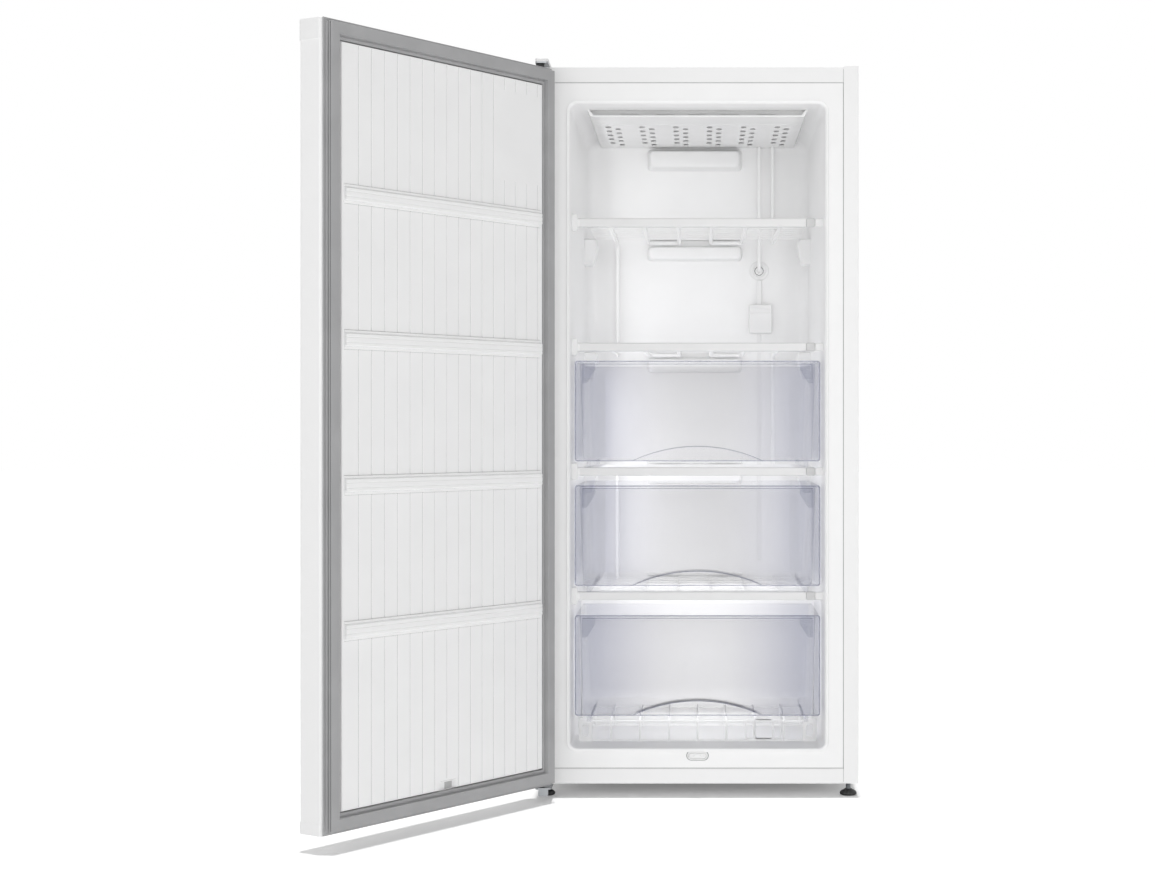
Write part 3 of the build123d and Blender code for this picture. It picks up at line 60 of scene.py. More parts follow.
# %% Camera
camera_data = bpy.data.cameras.new("photo_camera")
camera_data.lens = 65.72
camera_data.sensor_width = 36.0
camera_data.shift_x = -0.1039
camera_data.shift_y = -0.0059
camera_data.clip_end = 100.0
camera = bpy.data.objects.new("photo_camera", camera_data)
bpy.context.scene.collection.objects.link(camera)
camera.location = (0.0, -4.223, 0.687)
camera.rotation_euler = (math.pi / 2, 0.0, 0.0)
bpy.context.scene.camera = camera
print("camera:", camera_data.lens, "mm lens at", tuple(camera.location))

# %% [markdown]
# ## Colours and materials
# A colour is written as the sRGB value that the eye reads off a sample, and one function turns it
# into the linear value that Blender mixes with. Shader nodes could each be set up by hand, which
# takes four lines a node, so one small function adds a node with its settings and links.


# %% Colour and node helpers
def linear(hex_colour):
    """sRGB hex to linear RGBA: c / 12.92 near black, else ((c + 0.055) / 1.055) ** 2.4."""
    channels = [int(hex_colour[i:i + 2], 16) / 255 for i in (1, 3, 5)]
    return [c / 12.92 if c <= 0.04045 else ((c + 0.055) / 1.055) ** 2.4 for c in channels] + [1.0]


def node(tree, kind, links=(), **settings):
    """Add a node. Inputs are set by name, other settings are attributes, links are
    (socket, output)."""
    made = tree.nodes.new(kind)
    for key, value in settings.items():
        if key in made.inputs:
            made.inputs[key].default_value = value
        else:
            setattr(made, key, value)
    for socket, output in links:
        tree.links.new(made.inputs[socket], output)
    return made


print("mid grey #808080 is", round(linear("#808080")[0], 4), "in linear light")

# %% [markdown]
# No real surface is one flat colour. Each finish starts from a typical roughness and IOR for the
# real material, its tone drifts between two near colours over patches some centimetres wide, and
# a fine relief is drawn from noise. Both patterns' scales are worked out from millimetres. They
# read Object coordinates, so they stay on the piece when it moves.


# %% One finish
def finish(name, light, dark, roughness, grain_mm, bump_mm, tone_mm=60.0, **settings):
    """A surface whose tone drifts between two near colours, under a fine relief of one grain size.

    grain_mm is the width of the relief's bumps, bump_mm their height, and tone_mm the size of
    the patches in which the colour drifts. Settings go on the Principled shader as they are.
    """
    material = bpy.data.materials.new(name)
    material.use_nodes = True
    tree = material.node_tree
    shader = tree.nodes["Principled BSDF"]
    place = node(tree, "ShaderNodeTexCoord").outputs["Object"]
    drift = node(tree, "ShaderNodeTexNoise", [("Vector", place)], Scale=1000 / tone_mm, Detail=2.0)
    ramp = node(tree, "ShaderNodeValToRGB", [("Fac", drift.outputs["Fac"])])
    ramp.color_ramp.elements[0].position = 0.3
    ramp.color_ramp.elements[0].color = linear(dark)
    ramp.color_ramp.elements[1].position = 0.7
    ramp.color_ramp.elements[1].color = linear(light)
    tree.links.new(shader.inputs["Base Color"], ramp.outputs["Color"])
    grain = node(tree, "ShaderNodeTexNoise", [("Vector", place)], Scale=1000 / grain_mm, Detail=2.0)
    bump = node(tree, "ShaderNodeBump", [("Height", grain.outputs["Fac"])],
                Strength=1.0, Distance=bump_mm * MM)
    tree.links.new(shader.inputs["Normal"], bump.outputs["Normal"])
    shader.inputs["Roughness"].default_value = roughness
    for key, value in settings.items():
        shader.inputs[key].default_value = value
    print("finish:", name)
    return material


# %% [markdown]
# ## Whites
# White goods are mostly three whites that look alike and aren't: painted steel outside, a
# vacuum-formed liner inside, and moulded trim. They differ in gloss and in grain, so they catch
# the light differently where they meet.

# %% Paint and moulded plastics
# Polyester powder paint on steel: a smooth gloss with the faint orange peel of baked powder.
powder_paint_on_steel = finish(
    "powder_paint_on_steel", "#F2F2F2", "#F1F1F1", 0.33, 3.0, 0.01, IOR=1.5)
# Vacuum-formed high-impact polystyrene: stretched sheet, a little softer than the paint.
vacuum_formed_polystyrene = finish(
    "vacuum_formed_polystyrene", "#F6F6F6", "#F4F4F4", 0.42, 5.0, 0.02, IOR=1.59)
# The same sheet in painted shade for hollows and grooves: greyer, as they catch less light.
painted_shade_polystyrene = finish(
    "painted_shade_polystyrene", "#BABABA", "#B4B4B4", 0.45, 5.0, 0.02, IOR=1.59)
# Injection-moulded ABS: the fine spark-eroded texture of the mould makes it look matt.
moulded_white_abs = finish(
    "moulded_white_abs", "#F1F1F1", "#EDEDED", 0.45, 0.8, 0.01, IOR=1.54)
# Grey ABS: the grey stubs' own colour, and painted shade on the intake baffle.
grey_abs_and_painted_shade = finish(
    "grey_abs_and_painted_shade", "#D6D6D6", "#D0D0D0", 0.5, 0.8, 0.01, IOR=1.54)
moulded_black_abs = finish(
    "moulded_black_abs", "#2B2B2C", "#242425", 0.55, 0.8, 0.02, IOR=1.54)
# Extruded soft PVC: dull, a little uneven along its length.
extruded_grey_pvc = finish(
    "extruded_grey_pvc", "#A9A9AA", "#A2A2A3", 0.6, 1.5, 0.02, IOR=1.52)
# The same PVC in painted shade, for the undercut behind the magnet head, where shade falls.
painted_shade_pvc = finish(
    "painted_shade_pvc", "#5E5E5F", "#565657", 0.7, 1.5, 0.02, IOR=1.52)

# %% [markdown]
# ## Clear plastic
# The drawers are clear polystyrene with a violet-blue cast. Real refraction through thin walls
# costs many light bounces and shows little, so the plastic is given a low alpha instead: light
# passes, and gloss and tint stay. Towards the sides the plastic gets painted shade, a denser alpha
# and a deeper blue-grey, and light gathers in its edges, which get a denser plastic of their own.


# %% Clear polystyrene
def painted_shade_at_sides(material, middle_mm, side_mm, middle_alpha, side_alpha, pale, shaded_tint):
    """Painted shade: alpha and tint rise with the distance |x| from the tub's middle plane."""
    tree = material.node_tree
    place = node(tree, "ShaderNodeTexCoord").outputs["Object"]
    parts = node(tree, "ShaderNodeSeparateXYZ", [("Vector", place)])
    away = node(tree, "ShaderNodeMath", [(0, parts.outputs["X"])], operation="ABSOLUTE")
    ranges = {"From Min": middle_mm * MM, "From Max": side_mm * MM}
    alpha = node(tree, "ShaderNodeMapRange", [("Value", away.outputs[0])],
                 **ranges, **{"To Min": middle_alpha, "To Max": side_alpha})
    share = node(tree, "ShaderNodeMapRange", [("Value", away.outputs[0])], **ranges)
    tint = node(tree, "ShaderNodeValToRGB", [("Fac", share.outputs["Result"])])
    tint.color_ramp.elements[0].color = linear(pale)
    tint.color_ramp.elements[1].color = linear(shaded_tint)
    shader = tree.nodes["Principled BSDF"]
    tree.links.new(shader.inputs["Base Color"], tint.outputs["Color"])
    tree.links.new(shader.inputs["Alpha"], alpha.outputs["Result"])


# Clear general-purpose polystyrene: glossy and hazy, with painted shade towards the sides.
clear_blue_polystyrene = finish(
    "clear_blue_polystyrene", "#F0F1FA", "#EDEEF8", 0.18, 30.0, 0.0, 200.0,
    IOR=1.59, Alpha=0.09)
painted_shade_at_sides(clear_blue_polystyrene, 60.0, 230.0, 0.03, 0.14, "#F0EEFA", "#BCC1DC")
# Its edges: light that is trapped in the sheet comes out here, in a deeper blue-grey.
clear_blue_polystyrene_edge = finish(
    "clear_blue_polystyrene_edge", "#A6AAC0", "#A0A4BC", 0.2, 30.0, 0.0, 200.0,
    IOR=1.59, Alpha=0.42)
# The thin bead over the scoop, through which more light goes.
clear_blue_polystyrene_bead = finish(
    "clear_blue_polystyrene_bead", "#B9BEDA", "#B4B9D6", 0.2, 30.0, 0.0, 200.0,
    IOR=1.59, Alpha=0.2)

# %% [markdown]
# ## Coatings, metals and rubber
# Tubes, bars and wires are steel dipped in powder, so they are white plastics to the eye. Bare
# metal shows only at the back and in the hinges. A metal has Metallic 1 and keeps the default
# IOR, because its colour is its reflection.

# %% Coatings, metals and rubber
# Powder coat on steel tube and wire: thicker and rounder than on sheet, with a soft shine.
coated_tube = finish(
    "coated_tube", "#F8F8F8", "#F4F4F4", 0.38, 2.0, 0.01, IOR=1.5)
coated_bar = finish(
    "coated_bar", "#E9E9E9", "#E6E6E6", 0.4, 2.0, 0.01, IOR=1.5)
coated_wire_finish = finish(
    "coated_wire_finish", "#FAFAFA", "#F6F6F6", 0.35, 2.0, 0.01, IOR=1.5)
# Hot-dip galvanised sheet: zinc spangle, crystals some 12 mm across.
galvanised_steel = finish(
    "galvanised_steel", "#B9BCBF", "#A4A8AC", 0.42, 8.0, 0.01, 12.0, Metallic=1.0)
# Electroplated zinc: an even, slightly blue grey without spangle.
zinc_plated_steel = finish(
    "zinc_plated_steel", "#A9ABAD", "#9DA0A3", 0.38, 3.0, 0.01, Metallic=1.0)
# Roll-bonded aluminium plate, coated light grey against frost water.
painted_plate = finish(
    "painted_plate", "#C9C9C9", "#C2C2C2", 0.5, 3.0, 0.01, IOR=1.5)
# Drawn copper: bright, with a warm drift where it was soldered.
bright_copper_tube = finish(
    "bright_copper_tube", "#C98563", "#B87453", 0.32, 6.0, 0.01, Metallic=1.0)
# Dipped enamel on the pot: black, wet-looking, slightly wavy.
black_compressor_enamel = finish(
    "black_compressor_enamel", "#1F1F21", "#19191B", 0.3, 4.0, 0.03, IOR=1.5)
# Moulded rubber: dull and dusty, black in the mounts and grey in the pipe's seal.
black_rubber = finish("black_rubber", "#2A2A2A", "#222222", 0.75, 1.0, 0.03)
grey_rubber = finish("grey_rubber", "#7E7E7E", "#6C6C6C", 0.7, 1.0, 0.03)
# Rigid polyurethane foam: a pale yellow crumb with open cells.
rigid_foam = finish("rigid_foam", "#E9DDB4", "#DCCFA2", 0.9, 1.2, 0.2)
# Painted shade for the gap at a joint: a thin dull grey line.
painted_joint_shade = finish("painted_joint_shade", "#8C8C8C", "#848484", 0.8, 1.0, 0.01)

# %% [markdown]
# ## Surfaces from arrays
# A shape is either rings of points joined one to the next, or a profile carried along a path.
# Both are grids of points, so one function can make the faces of either.


# %% Grids and rings
def grid_faces(rows, columns, closed_rows=False, closed_columns=True):
    """Quads between neighbouring rows and columns of a grid of points, in index form."""
    i = np.arange(rows if closed_rows else rows - 1)
    j = np.arange(columns if closed_columns else columns - 1)
    i, j = (a.ravel() for a in np.meshgrid(i, j, indexing="ij"))
    ni, nj = (i + 1) % rows, (j + 1) % columns
    return np.stack([i * columns + j, i * columns + nj, ni * columns + nj, ni * columns + j],
                    1).tolist()


def stack(rings, capped=True, closed=False):
    """Rings of equal point counts, joined in order: a closed skin with a flat cap at each end."""
    rings = np.asarray(rings, float)
    rows, columns = rings.shape[:2]
    faces = grid_faces(rows, columns, closed_rows=closed)
    if capped and not closed:
        faces.append(list(range(columns))[::-1])
        faces.append([(rows - 1) * columns + k for k in range(columns)])
    return rings.reshape(-1, 3), faces


def joined(parts):
    """Several (points, faces) shapes as one, with each one's indices moved past the last."""
    points, faces = [], []
    for more_points, more_faces in parts:
        offset = sum(len(p) for p in points)
        points.append(np.asarray(more_points, float))
        faces += [[k + offset for k in face] for face in more_faces]
    return np.concatenate(points), faces


print("a 3 x 4 grid that closes round has", len(grid_faces(3, 4)), "quads")

# %% [markdown]
# A piece becomes an object whose origin is the world's and whose place is in its mesh, like the
# CAD model's nodes. It rides on a body, so that it moves with the door or a drawer. The door's
# pieces are worked out as if it were shut, where its sizes are plain, and then swung open about
# the hinge pins, which is simpler than slanted coordinates.

# %% Make a piece
PIVOT = (-290.5, -329.0)  # the hinge pins
DOOR_ANGLE = math.radians(-124)


def swing(points):
    """Turn points from the closed door to the open one: p' = pivot + R(angle) (p - pivot)."""
    c, s = math.cos(DOOR_ANGLE), math.sin(DOOR_ANGLE)
    x, y = points[:, 0] - PIVOT[0], points[:, 1] - PIVOT[1]
    return np.stack([PIVOT[0] + c * x - s * y, PIVOT[1] + s * x + c * y, points[:, 2]], 1)


def outwards(mesh):
    """Recalculate normals so that every closed shell faces out."""
    work = bmesh.new()
    work.from_mesh(mesh)
    bmesh.ops.recalc_face_normals(work, faces=work.faces)
    work.to_mesh(mesh)
    work.free()


def piece(name, shape, body, material, replaces=(), sharp=32.0):
    """Make the object, point its faces outwards, and let it ride on a body of the frame."""
    points, faces = shape if isinstance(shape, tuple) else joined(shape)
    points = swing(np.asarray(points)) if body == "door" else np.asarray(points)
    mesh = bpy.data.meshes.new(name)
    mesh.from_pydata((points * MM).tolist(), [], faces)
    mesh.materials.append(material)
    outwards(mesh)
    mesh.polygons.foreach_set("use_smooth", np.ones(len(mesh.polygons), bool))
    mesh.set_sharp_from_angle(angle=math.radians(sharp))
    made = bpy.data.objects.new(name, mesh)
    bpy.context.scene.collection.objects.link(made)
    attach(made, body)
    if replaces:
        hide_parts(*replaces)
    print(f"piece: {name}, {len(mesh.polygons)} faces")
    return made


# %% [markdown]
# ## Tubes
# The freezer is full of bent steel tube. A bevelled curve would draw it, but its bends and ends
# would need care by hand. Here a route of straight runs gets a true arc at each corner, and a
# ring of points is carried along it, with a flat cap at each end.


# %% Tubes
def rounded_route(corners, bend, steps=7):
    """Straight runs between corners, each corner taken by an arc that touches both its runs."""
    corners = np.asarray(corners, float)
    route = [corners[:1]]
    for before, corner, after in zip(corners, corners[1:], corners[2:]):
        a = (before - corner) / np.linalg.norm(before - corner)
        b = (after - corner) / np.linalg.norm(after - corner)
        half = math.acos(np.clip(a @ b, -1, 1)) / 2
        reach = bend / math.tan(half)
        middle = corner + (a + b) / np.linalg.norm(a + b) * bend / math.sin(half)
        start, end = corner + a * reach - middle, corner + b * reach - middle
        span = math.pi - 2 * half
        t = np.linspace(0, 1, steps)[:, None]
        route.append(middle + (np.sin((1 - t) * span) * start + np.sin(t * span) * end)
                     / math.sin(span))
    route.append(corners[-1:])
    return np.concatenate(route)


def tube(corners, radius, bend, plane, sides=16):
    """A round tube along a flat route. Its rings turn with the route: side = plane x direction."""
    route = rounded_route(corners, bend) if bend else np.asarray(corners, float)
    ahead = np.gradient(route, axis=0)
    ahead /= np.linalg.norm(ahead, axis=1, keepdims=True)
    plane = np.asarray(plane, float)
    side = np.cross(plane, ahead)
    angle = np.linspace(0, 2 * math.pi, sides, endpoint=False)
    ring = (np.cos(angle)[None, :, None] * side[:, None, :]
            + np.sin(angle)[None, :, None] * plane[None, None, :])
    return stack(route[:, None, :] + radius * ring)


print("a bend has", len(rounded_route([(0, 0, 0), (9, 0, 0), (9, 9, 0)], 4.0)) - 2, "points")

# %% [markdown]
# ## Shelves that are also the cooling coil
# Each shelf is one tube bent to and fro, with thin wires welded across it, all dipped in white
# coating. The CAD tube has six flat sides, so it is swept again along the same route, round.

# %% Shelf coils
SHELF_LEVELS = [1076.6, 841.4, 606.2, 371.0]
RUN_XS = [-168.0 + 65.2 * k for k in range(6)]
TUBE, BEND = 4.0, 14.0  # the tube's radius, and that of its bends
COIL_FRONT, COIL_BACK, COIL_END = FRONT + 72, FRONT + 502, FRONT + 484
WIRES, WIRE_STEP, CROSS_WIRE = 9, 44, 1.25

for number, level in enumerate(SHELF_LEVELS, start=1):
    corners = []
    for k, x in enumerate(RUN_XS):
        rear = COIL_END if k in (0, 5) else COIL_BACK
        ends = (rear, COIL_FRONT) if k % 2 == 0 else (COIL_FRONT, rear)
        corners += [(x, ends[0], level), (x, ends[1], level)]
    parts = [tube(corners, TUBE, BEND, UP)]
    for k in range(WIRES):
        y, z = FRONT + 100 + WIRE_STEP * k, level + TUBE + CROSS_WIRE
        parts.append(tube([(-212, y, z), (212, y, z)], CROSS_WIRE, 0, UP, sides=8))
    piece(f"shelf_tube_{number}", parts, "cabinet", coated_tube,
          [f"shelf_coil_{number}"])

# %% [markdown]
# The risers, the supply tube and the suction line are the same tube, stood upright along the
# liner's back. They join one shelf to the next and then leave through the wall or rise to the
# cooling plate under the ceiling. The same sweep makes them, in an upright plane.

# %% Risers and lines
RISER_Y, TAIL = FRONT + 509, COIL_END + 0.3
MOUTH_HIGH = 1294.0  # the liner's ceiling
PLATE_BOTTOM = MOUTH_HIGH - 0.3 - 1.6 - 5.0  # below it: a gap, the plate and its channels
SUPPLY_X, SUCTION_X, GROMMET_Z = 158.0, 130.0, 1020.0
parts = []
for k in range(3):
    x = RUN_XS[0] if k % 2 == 0 else RUN_XS[-1]
    upper, lower = SHELF_LEVELS[k], SHELF_LEVELS[k + 1]
    route = [(x, TAIL, upper), (x, RISER_Y, upper), (x, RISER_Y, lower), (x, TAIL, lower)]
    parts.append(tube(route, TUBE, BEND, SIDEWAYS))
parts.append(tube([(RUN_XS[-1], TAIL, SHELF_LEVELS[3]), (RUN_XS[-1], 232.5, SHELF_LEVELS[3])],
                  TUBE, 0, SIDEWAYS))
piece("riser_pipes", parts, "cabinet", coated_tube, ["riser_tubes"])
piece("supply_pipe",
      tube([(SUPPLY_X, RISER_Y, PLATE_BOTTOM - 0.3), (SUPPLY_X, RISER_Y, SHELF_LEVELS[0]),
            (SUPPLY_X, TAIL, SHELF_LEVELS[0])], TUBE, BEND, SIDEWAYS),
      "cabinet", coated_tube, ["supply_tube"])
piece("suction_pipe",
      tube([(SUCTION_X, RISER_Y, PLATE_BOTTOM - 0.3), (SUCTION_X, RISER_Y, GROMMET_Z),
            (SUCTION_X, 247.0, GROMMET_Z)], TUBE, BEND, SIDEWAYS),
      "cabinet", coated_tube, ["suction_line"])

# %% [markdown]
# ## The moulded liner
# One sheet of polystyrene is drawn over a tool, so every inner corner is round. A bevelled box
# would have the same round everywhere. Here the wall is a stack of rounded rectangles from the
# mouth to the back, so its corners can open from a tight mouth to a wide back, its floor can step
# up over the machine compartment, and its back edge can draw in along a quarter circle.


# %% Outlines
def rounded_rectangle(width, height, radius, steps=6):
    """Outline of a rectangle with quarter-circle corners, anticlockwise, as (2D) points."""
    radius = min(max(radius, 0.01), 0.499 * width, 0.499 * height)
    turn = np.linspace(0, math.pi / 2, steps)
    arcs = []
    for k, (sx, sy) in enumerate(((1, 1), (-1, 1), (-1, -1), (1, -1))):
        centre = (sx * (width / 2 - radius), sy * (height / 2 - radius))
        angle = turn + k * math.pi / 2
        arcs.append(np.stack([centre[0] + radius * np.cos(angle),
                              centre[1] + radius * np.sin(angle)], 1))
    return np.concatenate(arcs)


def on_plane(outline, centre, across=SIDEWAYS, up=UP):
    """Put a flat outline into space: centre + u * across + v * up."""
    across, up = np.asarray(across), np.asarray(up)
    return np.asarray(centre) + outline[:, :1] * across + outline[:, 1:] * up


print("a rounded rectangle has", len(rounded_rectangle(40, 20, 5)), "points")

# %% Liner walls
MOUTH_HALF, MOUTH_LOW = 239.5, 89.0
FLANGE, LINER_BACK, DRAFT = FRONT + 1, FRONT + 528, 4.5
HUMP_FRONT, HUMP_TOP = 36.0, 344.0
LINER_WALL = 1.8


def liner_walls(lip=5.0, back_corner=24.0):
    """Rings w(y) x h(y): w = mouth - draft * share of depth, less the arcs of lip and back."""
    turn = np.linspace(0, math.pi / 2, 7)
    lip_y, lip_in = FLANGE + lip * (1 - np.cos(turn)), lip * (1 - np.sin(turn))
    back_start = LINER_BACK - back_corner
    floor = rounded_route([(0, FLANGE + lip, MOUTH_LOW), (0, HUMP_FRONT, MOUTH_LOW),
                           (0, HUMP_FRONT + 0.5, HUMP_TOP), (0, back_start, HUMP_TOP)], 6.0)[1:]
    back_y = back_start + back_corner * np.sin(turn[1:])
    back_in = back_corner * (1 - np.cos(turn[1:]))
    y = np.concatenate([lip_y, floor[:, 1], back_y])
    low = np.concatenate([np.full(len(lip_y), MOUTH_LOW), floor[:, 2],
                          np.full(len(back_y), HUMP_TOP)])
    inset = np.concatenate([-lip_in, np.zeros(len(floor)), back_in])
    share = (y - FLANGE) / (LINER_BACK - FLANGE)
    rings = []
    for k in range(len(y)):
        width = 2 * (MOUTH_HALF - DRAFT * share[k] - inset[k])
        bottom, top = low[k] + inset[k], MOUTH_HIGH - inset[k]
        corner = max(15 + 16 * share[k] - inset[k], 3)
        rings.append(on_plane(rounded_rectangle(width, top - bottom, corner, 8),
                              (0, y[k], (top + bottom) / 2)))
    points, faces = stack(rings, capped=False)
    count = len(rings[0])
    faces.append([len(points) - count + k for k in range(count)])
    return points, faces


walls = piece("liner_shell", liner_walls(), "cabinet", vacuum_formed_polystyrene,
              ["inner_liner"], sharp=50)
walls.data.flip_normals()
skin = walls.modifiers.new("wall", "SOLIDIFY")
skin.thickness, skin.offset = LINER_WALL * MM, -1.0

# %% [markdown]
# The liner's front flange is a flat sheet with the mouth and the drain cut out. Booleans would do
# it, but a filled 2D curve needs only the outlines: every inner loop becomes a hole.

# %% Liner flange
def sheet_with_holes(outline, holes, thickness):
    """A flat sheet cut from an outline with holes in it, filled by a 2D curve round z = 0."""
    curve = bpy.data.curves.new("cut_sheet", "CURVE")
    curve.dimensions, curve.fill_mode, curve.extrude = "2D", "BOTH", thickness / 2
    for loop in (outline, *holes):
        spline = curve.splines.new("POLY")
        spline.points.add(len(loop) - 1)
        flat = np.zeros((len(loop), 4))
        flat[:, :2] = loop
        spline.points.foreach_set("co", flat.ravel())
        spline.use_cyclic_u = True
    holder = bpy.data.objects.new("cut_sheet", curve)
    mesh = bpy.data.meshes.new_from_object(holder)
    points = np.empty(len(mesh.vertices) * 3)
    mesh.vertices.foreach_get("co", points)
    faces = [list(face.vertices) for face in mesh.polygons]
    bpy.data.objects.remove(holder)
    bpy.data.curves.remove(curve)
    bpy.data.meshes.remove(mesh)
    return points.reshape(-1, 3), faces


DRAIN_Z = 78.0
SHELL_HALF, SHELL_BOTTOM, SHELL_TOP = 299.2, 27, 1359.2  # inside the sheet of the shell
mouth = rounded_rectangle(2 * MOUTH_HALF + 10, MOUTH_HIGH - MOUTH_LOW + 10, 20, 8)
frame_outline = rounded_rectangle(2 * SHELL_HALF, SHELL_TOP - SHELL_BOTTOM, 1.0, 2)
frame_outline += [0, (SHELL_BOTTOM + SHELL_TOP) / 2]
drain_hole = rounded_rectangle(38, 15, 7.5, 8) + [0, DRAIN_Z]
points, faces = sheet_with_holes(
    frame_outline, [mouth + [0, (MOUTH_LOW + MOUTH_HIGH) / 2], drain_hole], LINER_WALL)
upright = np.column_stack([points[:, 0], FLANGE + LINER_WALL / 2 - points[:, 2], points[:, 1]])
piece("liner_flange", (upright, faces), "cabinet", vacuum_formed_polystyrene)

# %% [markdown]
# Where the folded hems of the shell meet the liner's flange, the joint's gap lies in shade, and
# a narrow grey line of painted shade stands for it. From the front it reads as a thin line round
# the frame. A line drawn in a texture would slide off in other views, so it is four thin plates
# with softened rims, and most of the freezer's small fittings are made with the same function.


# %% Plates and the painted joint shade
def slab(width, height, radius, centre, depth, bevel=1.0, across=SIDEWAYS, up=UP, steps=6):
    """A plate with rounded corners and bevelled rims, from its front back along its normal."""
    normal = np.cross(across, up)
    rings = []
    for inset, level in ((bevel, 0), (0, bevel), (0, depth - bevel), (bevel, depth)):
        outline = rounded_rectangle(width - 2 * inset, height - 2 * inset, radius - inset, steps)
        rings.append(on_plane(outline, np.asarray(centre) - normal * level, across, up))
    return stack(rings)


JOINT_LINE, JOINT_LINE_MIDDLE = 1.0, 0.55  # its width, and how far its middle lies off a hem's edge
CABINET_HALF, CABINET_TOP, HEM, TOP_BAND, BOTTOM_BAND = 300, 1360, 27.6, 28, 27
HEM_EDGE = CABINET_HALF - HEM - JOINT_LINE_MIDDLE
TOP_BAND_LOW = CABINET_TOP - TOP_BAND - JOINT_LINE_MIDDLE
BOTTOM_BAND_HIGH = SHELL_BOTTOM + BOTTOM_BAND + JOINT_LINE_MIDDLE
parts = [slab(JOINT_LINE, 1328, 0.3, (side * HEM_EDGE, FRONT + 0.75, 693), 0.4, 0.1)
         for side in (-1, 1)]
parts += [slab(2 * HEM_EDGE, JOINT_LINE, 0.3, (0, FRONT + 0.7, z), 0.4, 0.1)
          for z in (TOP_BAND_LOW, BOTTOM_BAND_HIGH)]
piece("joint_shade_line", parts, "cabinet", painted_joint_shade)

# %% [markdown]
# Bosses on the back wall hold the coil's rear bends in a slot. They are drawn from the same
# sheet, so their edges are soft. Sculpting them into the wall would need a fine mesh all over
# it. Instead each is a soft block whose foot sinks into the wall, and a boss is two of them with
# the slot between.


# %% Bosses
def soft_block(width, height, rise, centre, radius=8.0, edge=6.0, slope=2.0, sink=3.0):
    """A boss on the back wall: rounded rectangles that shrink by the slope, then a quarter arc."""
    turn = np.linspace(0, math.pi / 2, 5)
    levels = np.concatenate([[-sink, 0], rise - edge + edge * np.sin(turn)])
    shrink = np.concatenate([[0, 0], slope + edge * (1 - np.cos(turn))])
    return stack([on_plane(rounded_rectangle(width - 2 * inset, height - 2 * inset, radius),
                           np.asarray(centre) - np.array([0, level, 0]))
                  for level, inset in zip(levels, shrink)])


BOSS_LEFT, BOSS_RIGHT, BOSS_RISE, BOSS_HEIGHT = -106.0, 94.0, 28.0, 47
boss_x, boss_width = (BOSS_LEFT + BOSS_RIGHT) / 2, BOSS_RIGHT - BOSS_LEFT
bosses = []
for level in SHELF_LEVELS:
    top, slot_low, slot_high = level + 10.4, level - 4.3, level + 7.7
    bottom = top - BOSS_HEIGHT
    bosses.append(soft_block(boss_width, slot_low - bottom, BOSS_RISE,
                             (boss_x, LINER_BACK, (slot_low + bottom) / 2), 9.0, 5.0, 3.0))
    bosses.append(soft_block(boss_width, top - slot_high + 3, BOSS_RISE - 15,
                             (boss_x, LINER_BACK, (top + slot_high) / 2), 1.4, 1.4))
bosses.append(soft_block(boss_width, BOSS_HEIGHT, BOSS_RISE, (boss_x, LINER_BACK, 1253.5),
                         9.0, 5.0, 6.0))
print("bosses:", len(SHELF_LEVELS), "with a slot and one under the ceiling")

# %% [markdown]
# Tapered brackets on the side walls carry the shelves' rear corners. Each is an outline seen from
# the front, with rounded corners, carried along Y. Its ends draw in a little, as a pressed sheet
# does, which a plain extrusion wouldn't show.


# %% Wall brackets
def rounded_polygon(corners, radii, steps=5):
    """A closed outline whose corners are arcs, made like a rounded route all the way round."""
    corners = np.asarray(corners, float)
    points = []
    for k in range(len(corners)):
        trio = np.array([corners[k - 1], corners[k], corners[(k + 1) % len(corners)]])
        flat = np.column_stack([trio, np.zeros(3)])
        points.append(rounded_route(flat, max(radii[k], 0.01), steps)[1:-1, :2])
    return np.concatenate(points)


def wall_bracket(level, side):
    """A tapered bracket: its outline in X and Z, rounded, carried along Y with drawn-in ends."""
    wall = MOUTH_HALF - DRAFT * 0.88
    outline = rounded_polygon(
        [(-wall - 3, level + 4), (-wall + 27, level + 4), (-wall + 30, level - 12),
         (-wall + 25, level - 32), (-wall + 19, level - 52), (-wall - 3, level - 52)],
        [1, 7, 9, 9, 5, 1], 6)
    middle = np.array([-wall, level - 22])
    rings = []
    for y, share in ((139, 0.9), (140.5, 0.95), (144, 1.0), (174, 1.0), (177.5, 0.95), (179, 0.9)):
        flat = middle + (outline - middle) * share
        rings.append(np.column_stack([-side * flat[:, 0], np.full(len(flat), y), flat[:, 1]]))
    return stack(rings)


brackets = [wall_bracket(level, side) for level in SHELF_LEVELS for side in (-1, 1)]
piece("liner_bosses", bosses + brackets, "cabinet", vacuum_formed_polystyrene,
      sharp=40)

# %% [markdown]
# ## The slotted ceiling cover
# A moulded cover hangs under the cooling plate, with pairs of slot columns for the cold air. The
# filled curve cuts its sixty slots at once, which a grid couldn't do as simply. Its sides flare
# up to the ceiling, and its front edge is folded.

# %% Ceiling cover
COVER_LOW, COVER_FRONT, COVER_BACK = 1279.0, FRONT + 73, LINER_BACK - 0.3
SLOT_GROUPS, GROUP_STEP, COLUMN_STEP, ROW_STEP = 6, 66.5, 18.6, 57
slots = [rounded_rectangle(10.5, 26, 5.2, 5)
         + [(group - 2.5) * GROUP_STEP + (column - 0.5) * COLUMN_STEP,
            FRONT + 216 + 27 * column + ROW_STEP * row]
         for group in range(SLOT_GROUPS) for column in range(2) for row in range(5)]
pipe_holes = [rounded_rectangle(10, 10, 4.9) + [x, RISER_Y] for x in (SUCTION_X, SUPPLY_X)]
sheet_outline = rounded_rectangle(400, COVER_BACK - COVER_FRONT, 4, 5)
points, faces = sheet_with_holes(sheet_outline + [0, (COVER_BACK + COVER_FRONT) / 2],
                                 slots + pipe_holes, 2.0)
points[:, 2] += COVER_LOW + 1
parts = [(points, faces)]
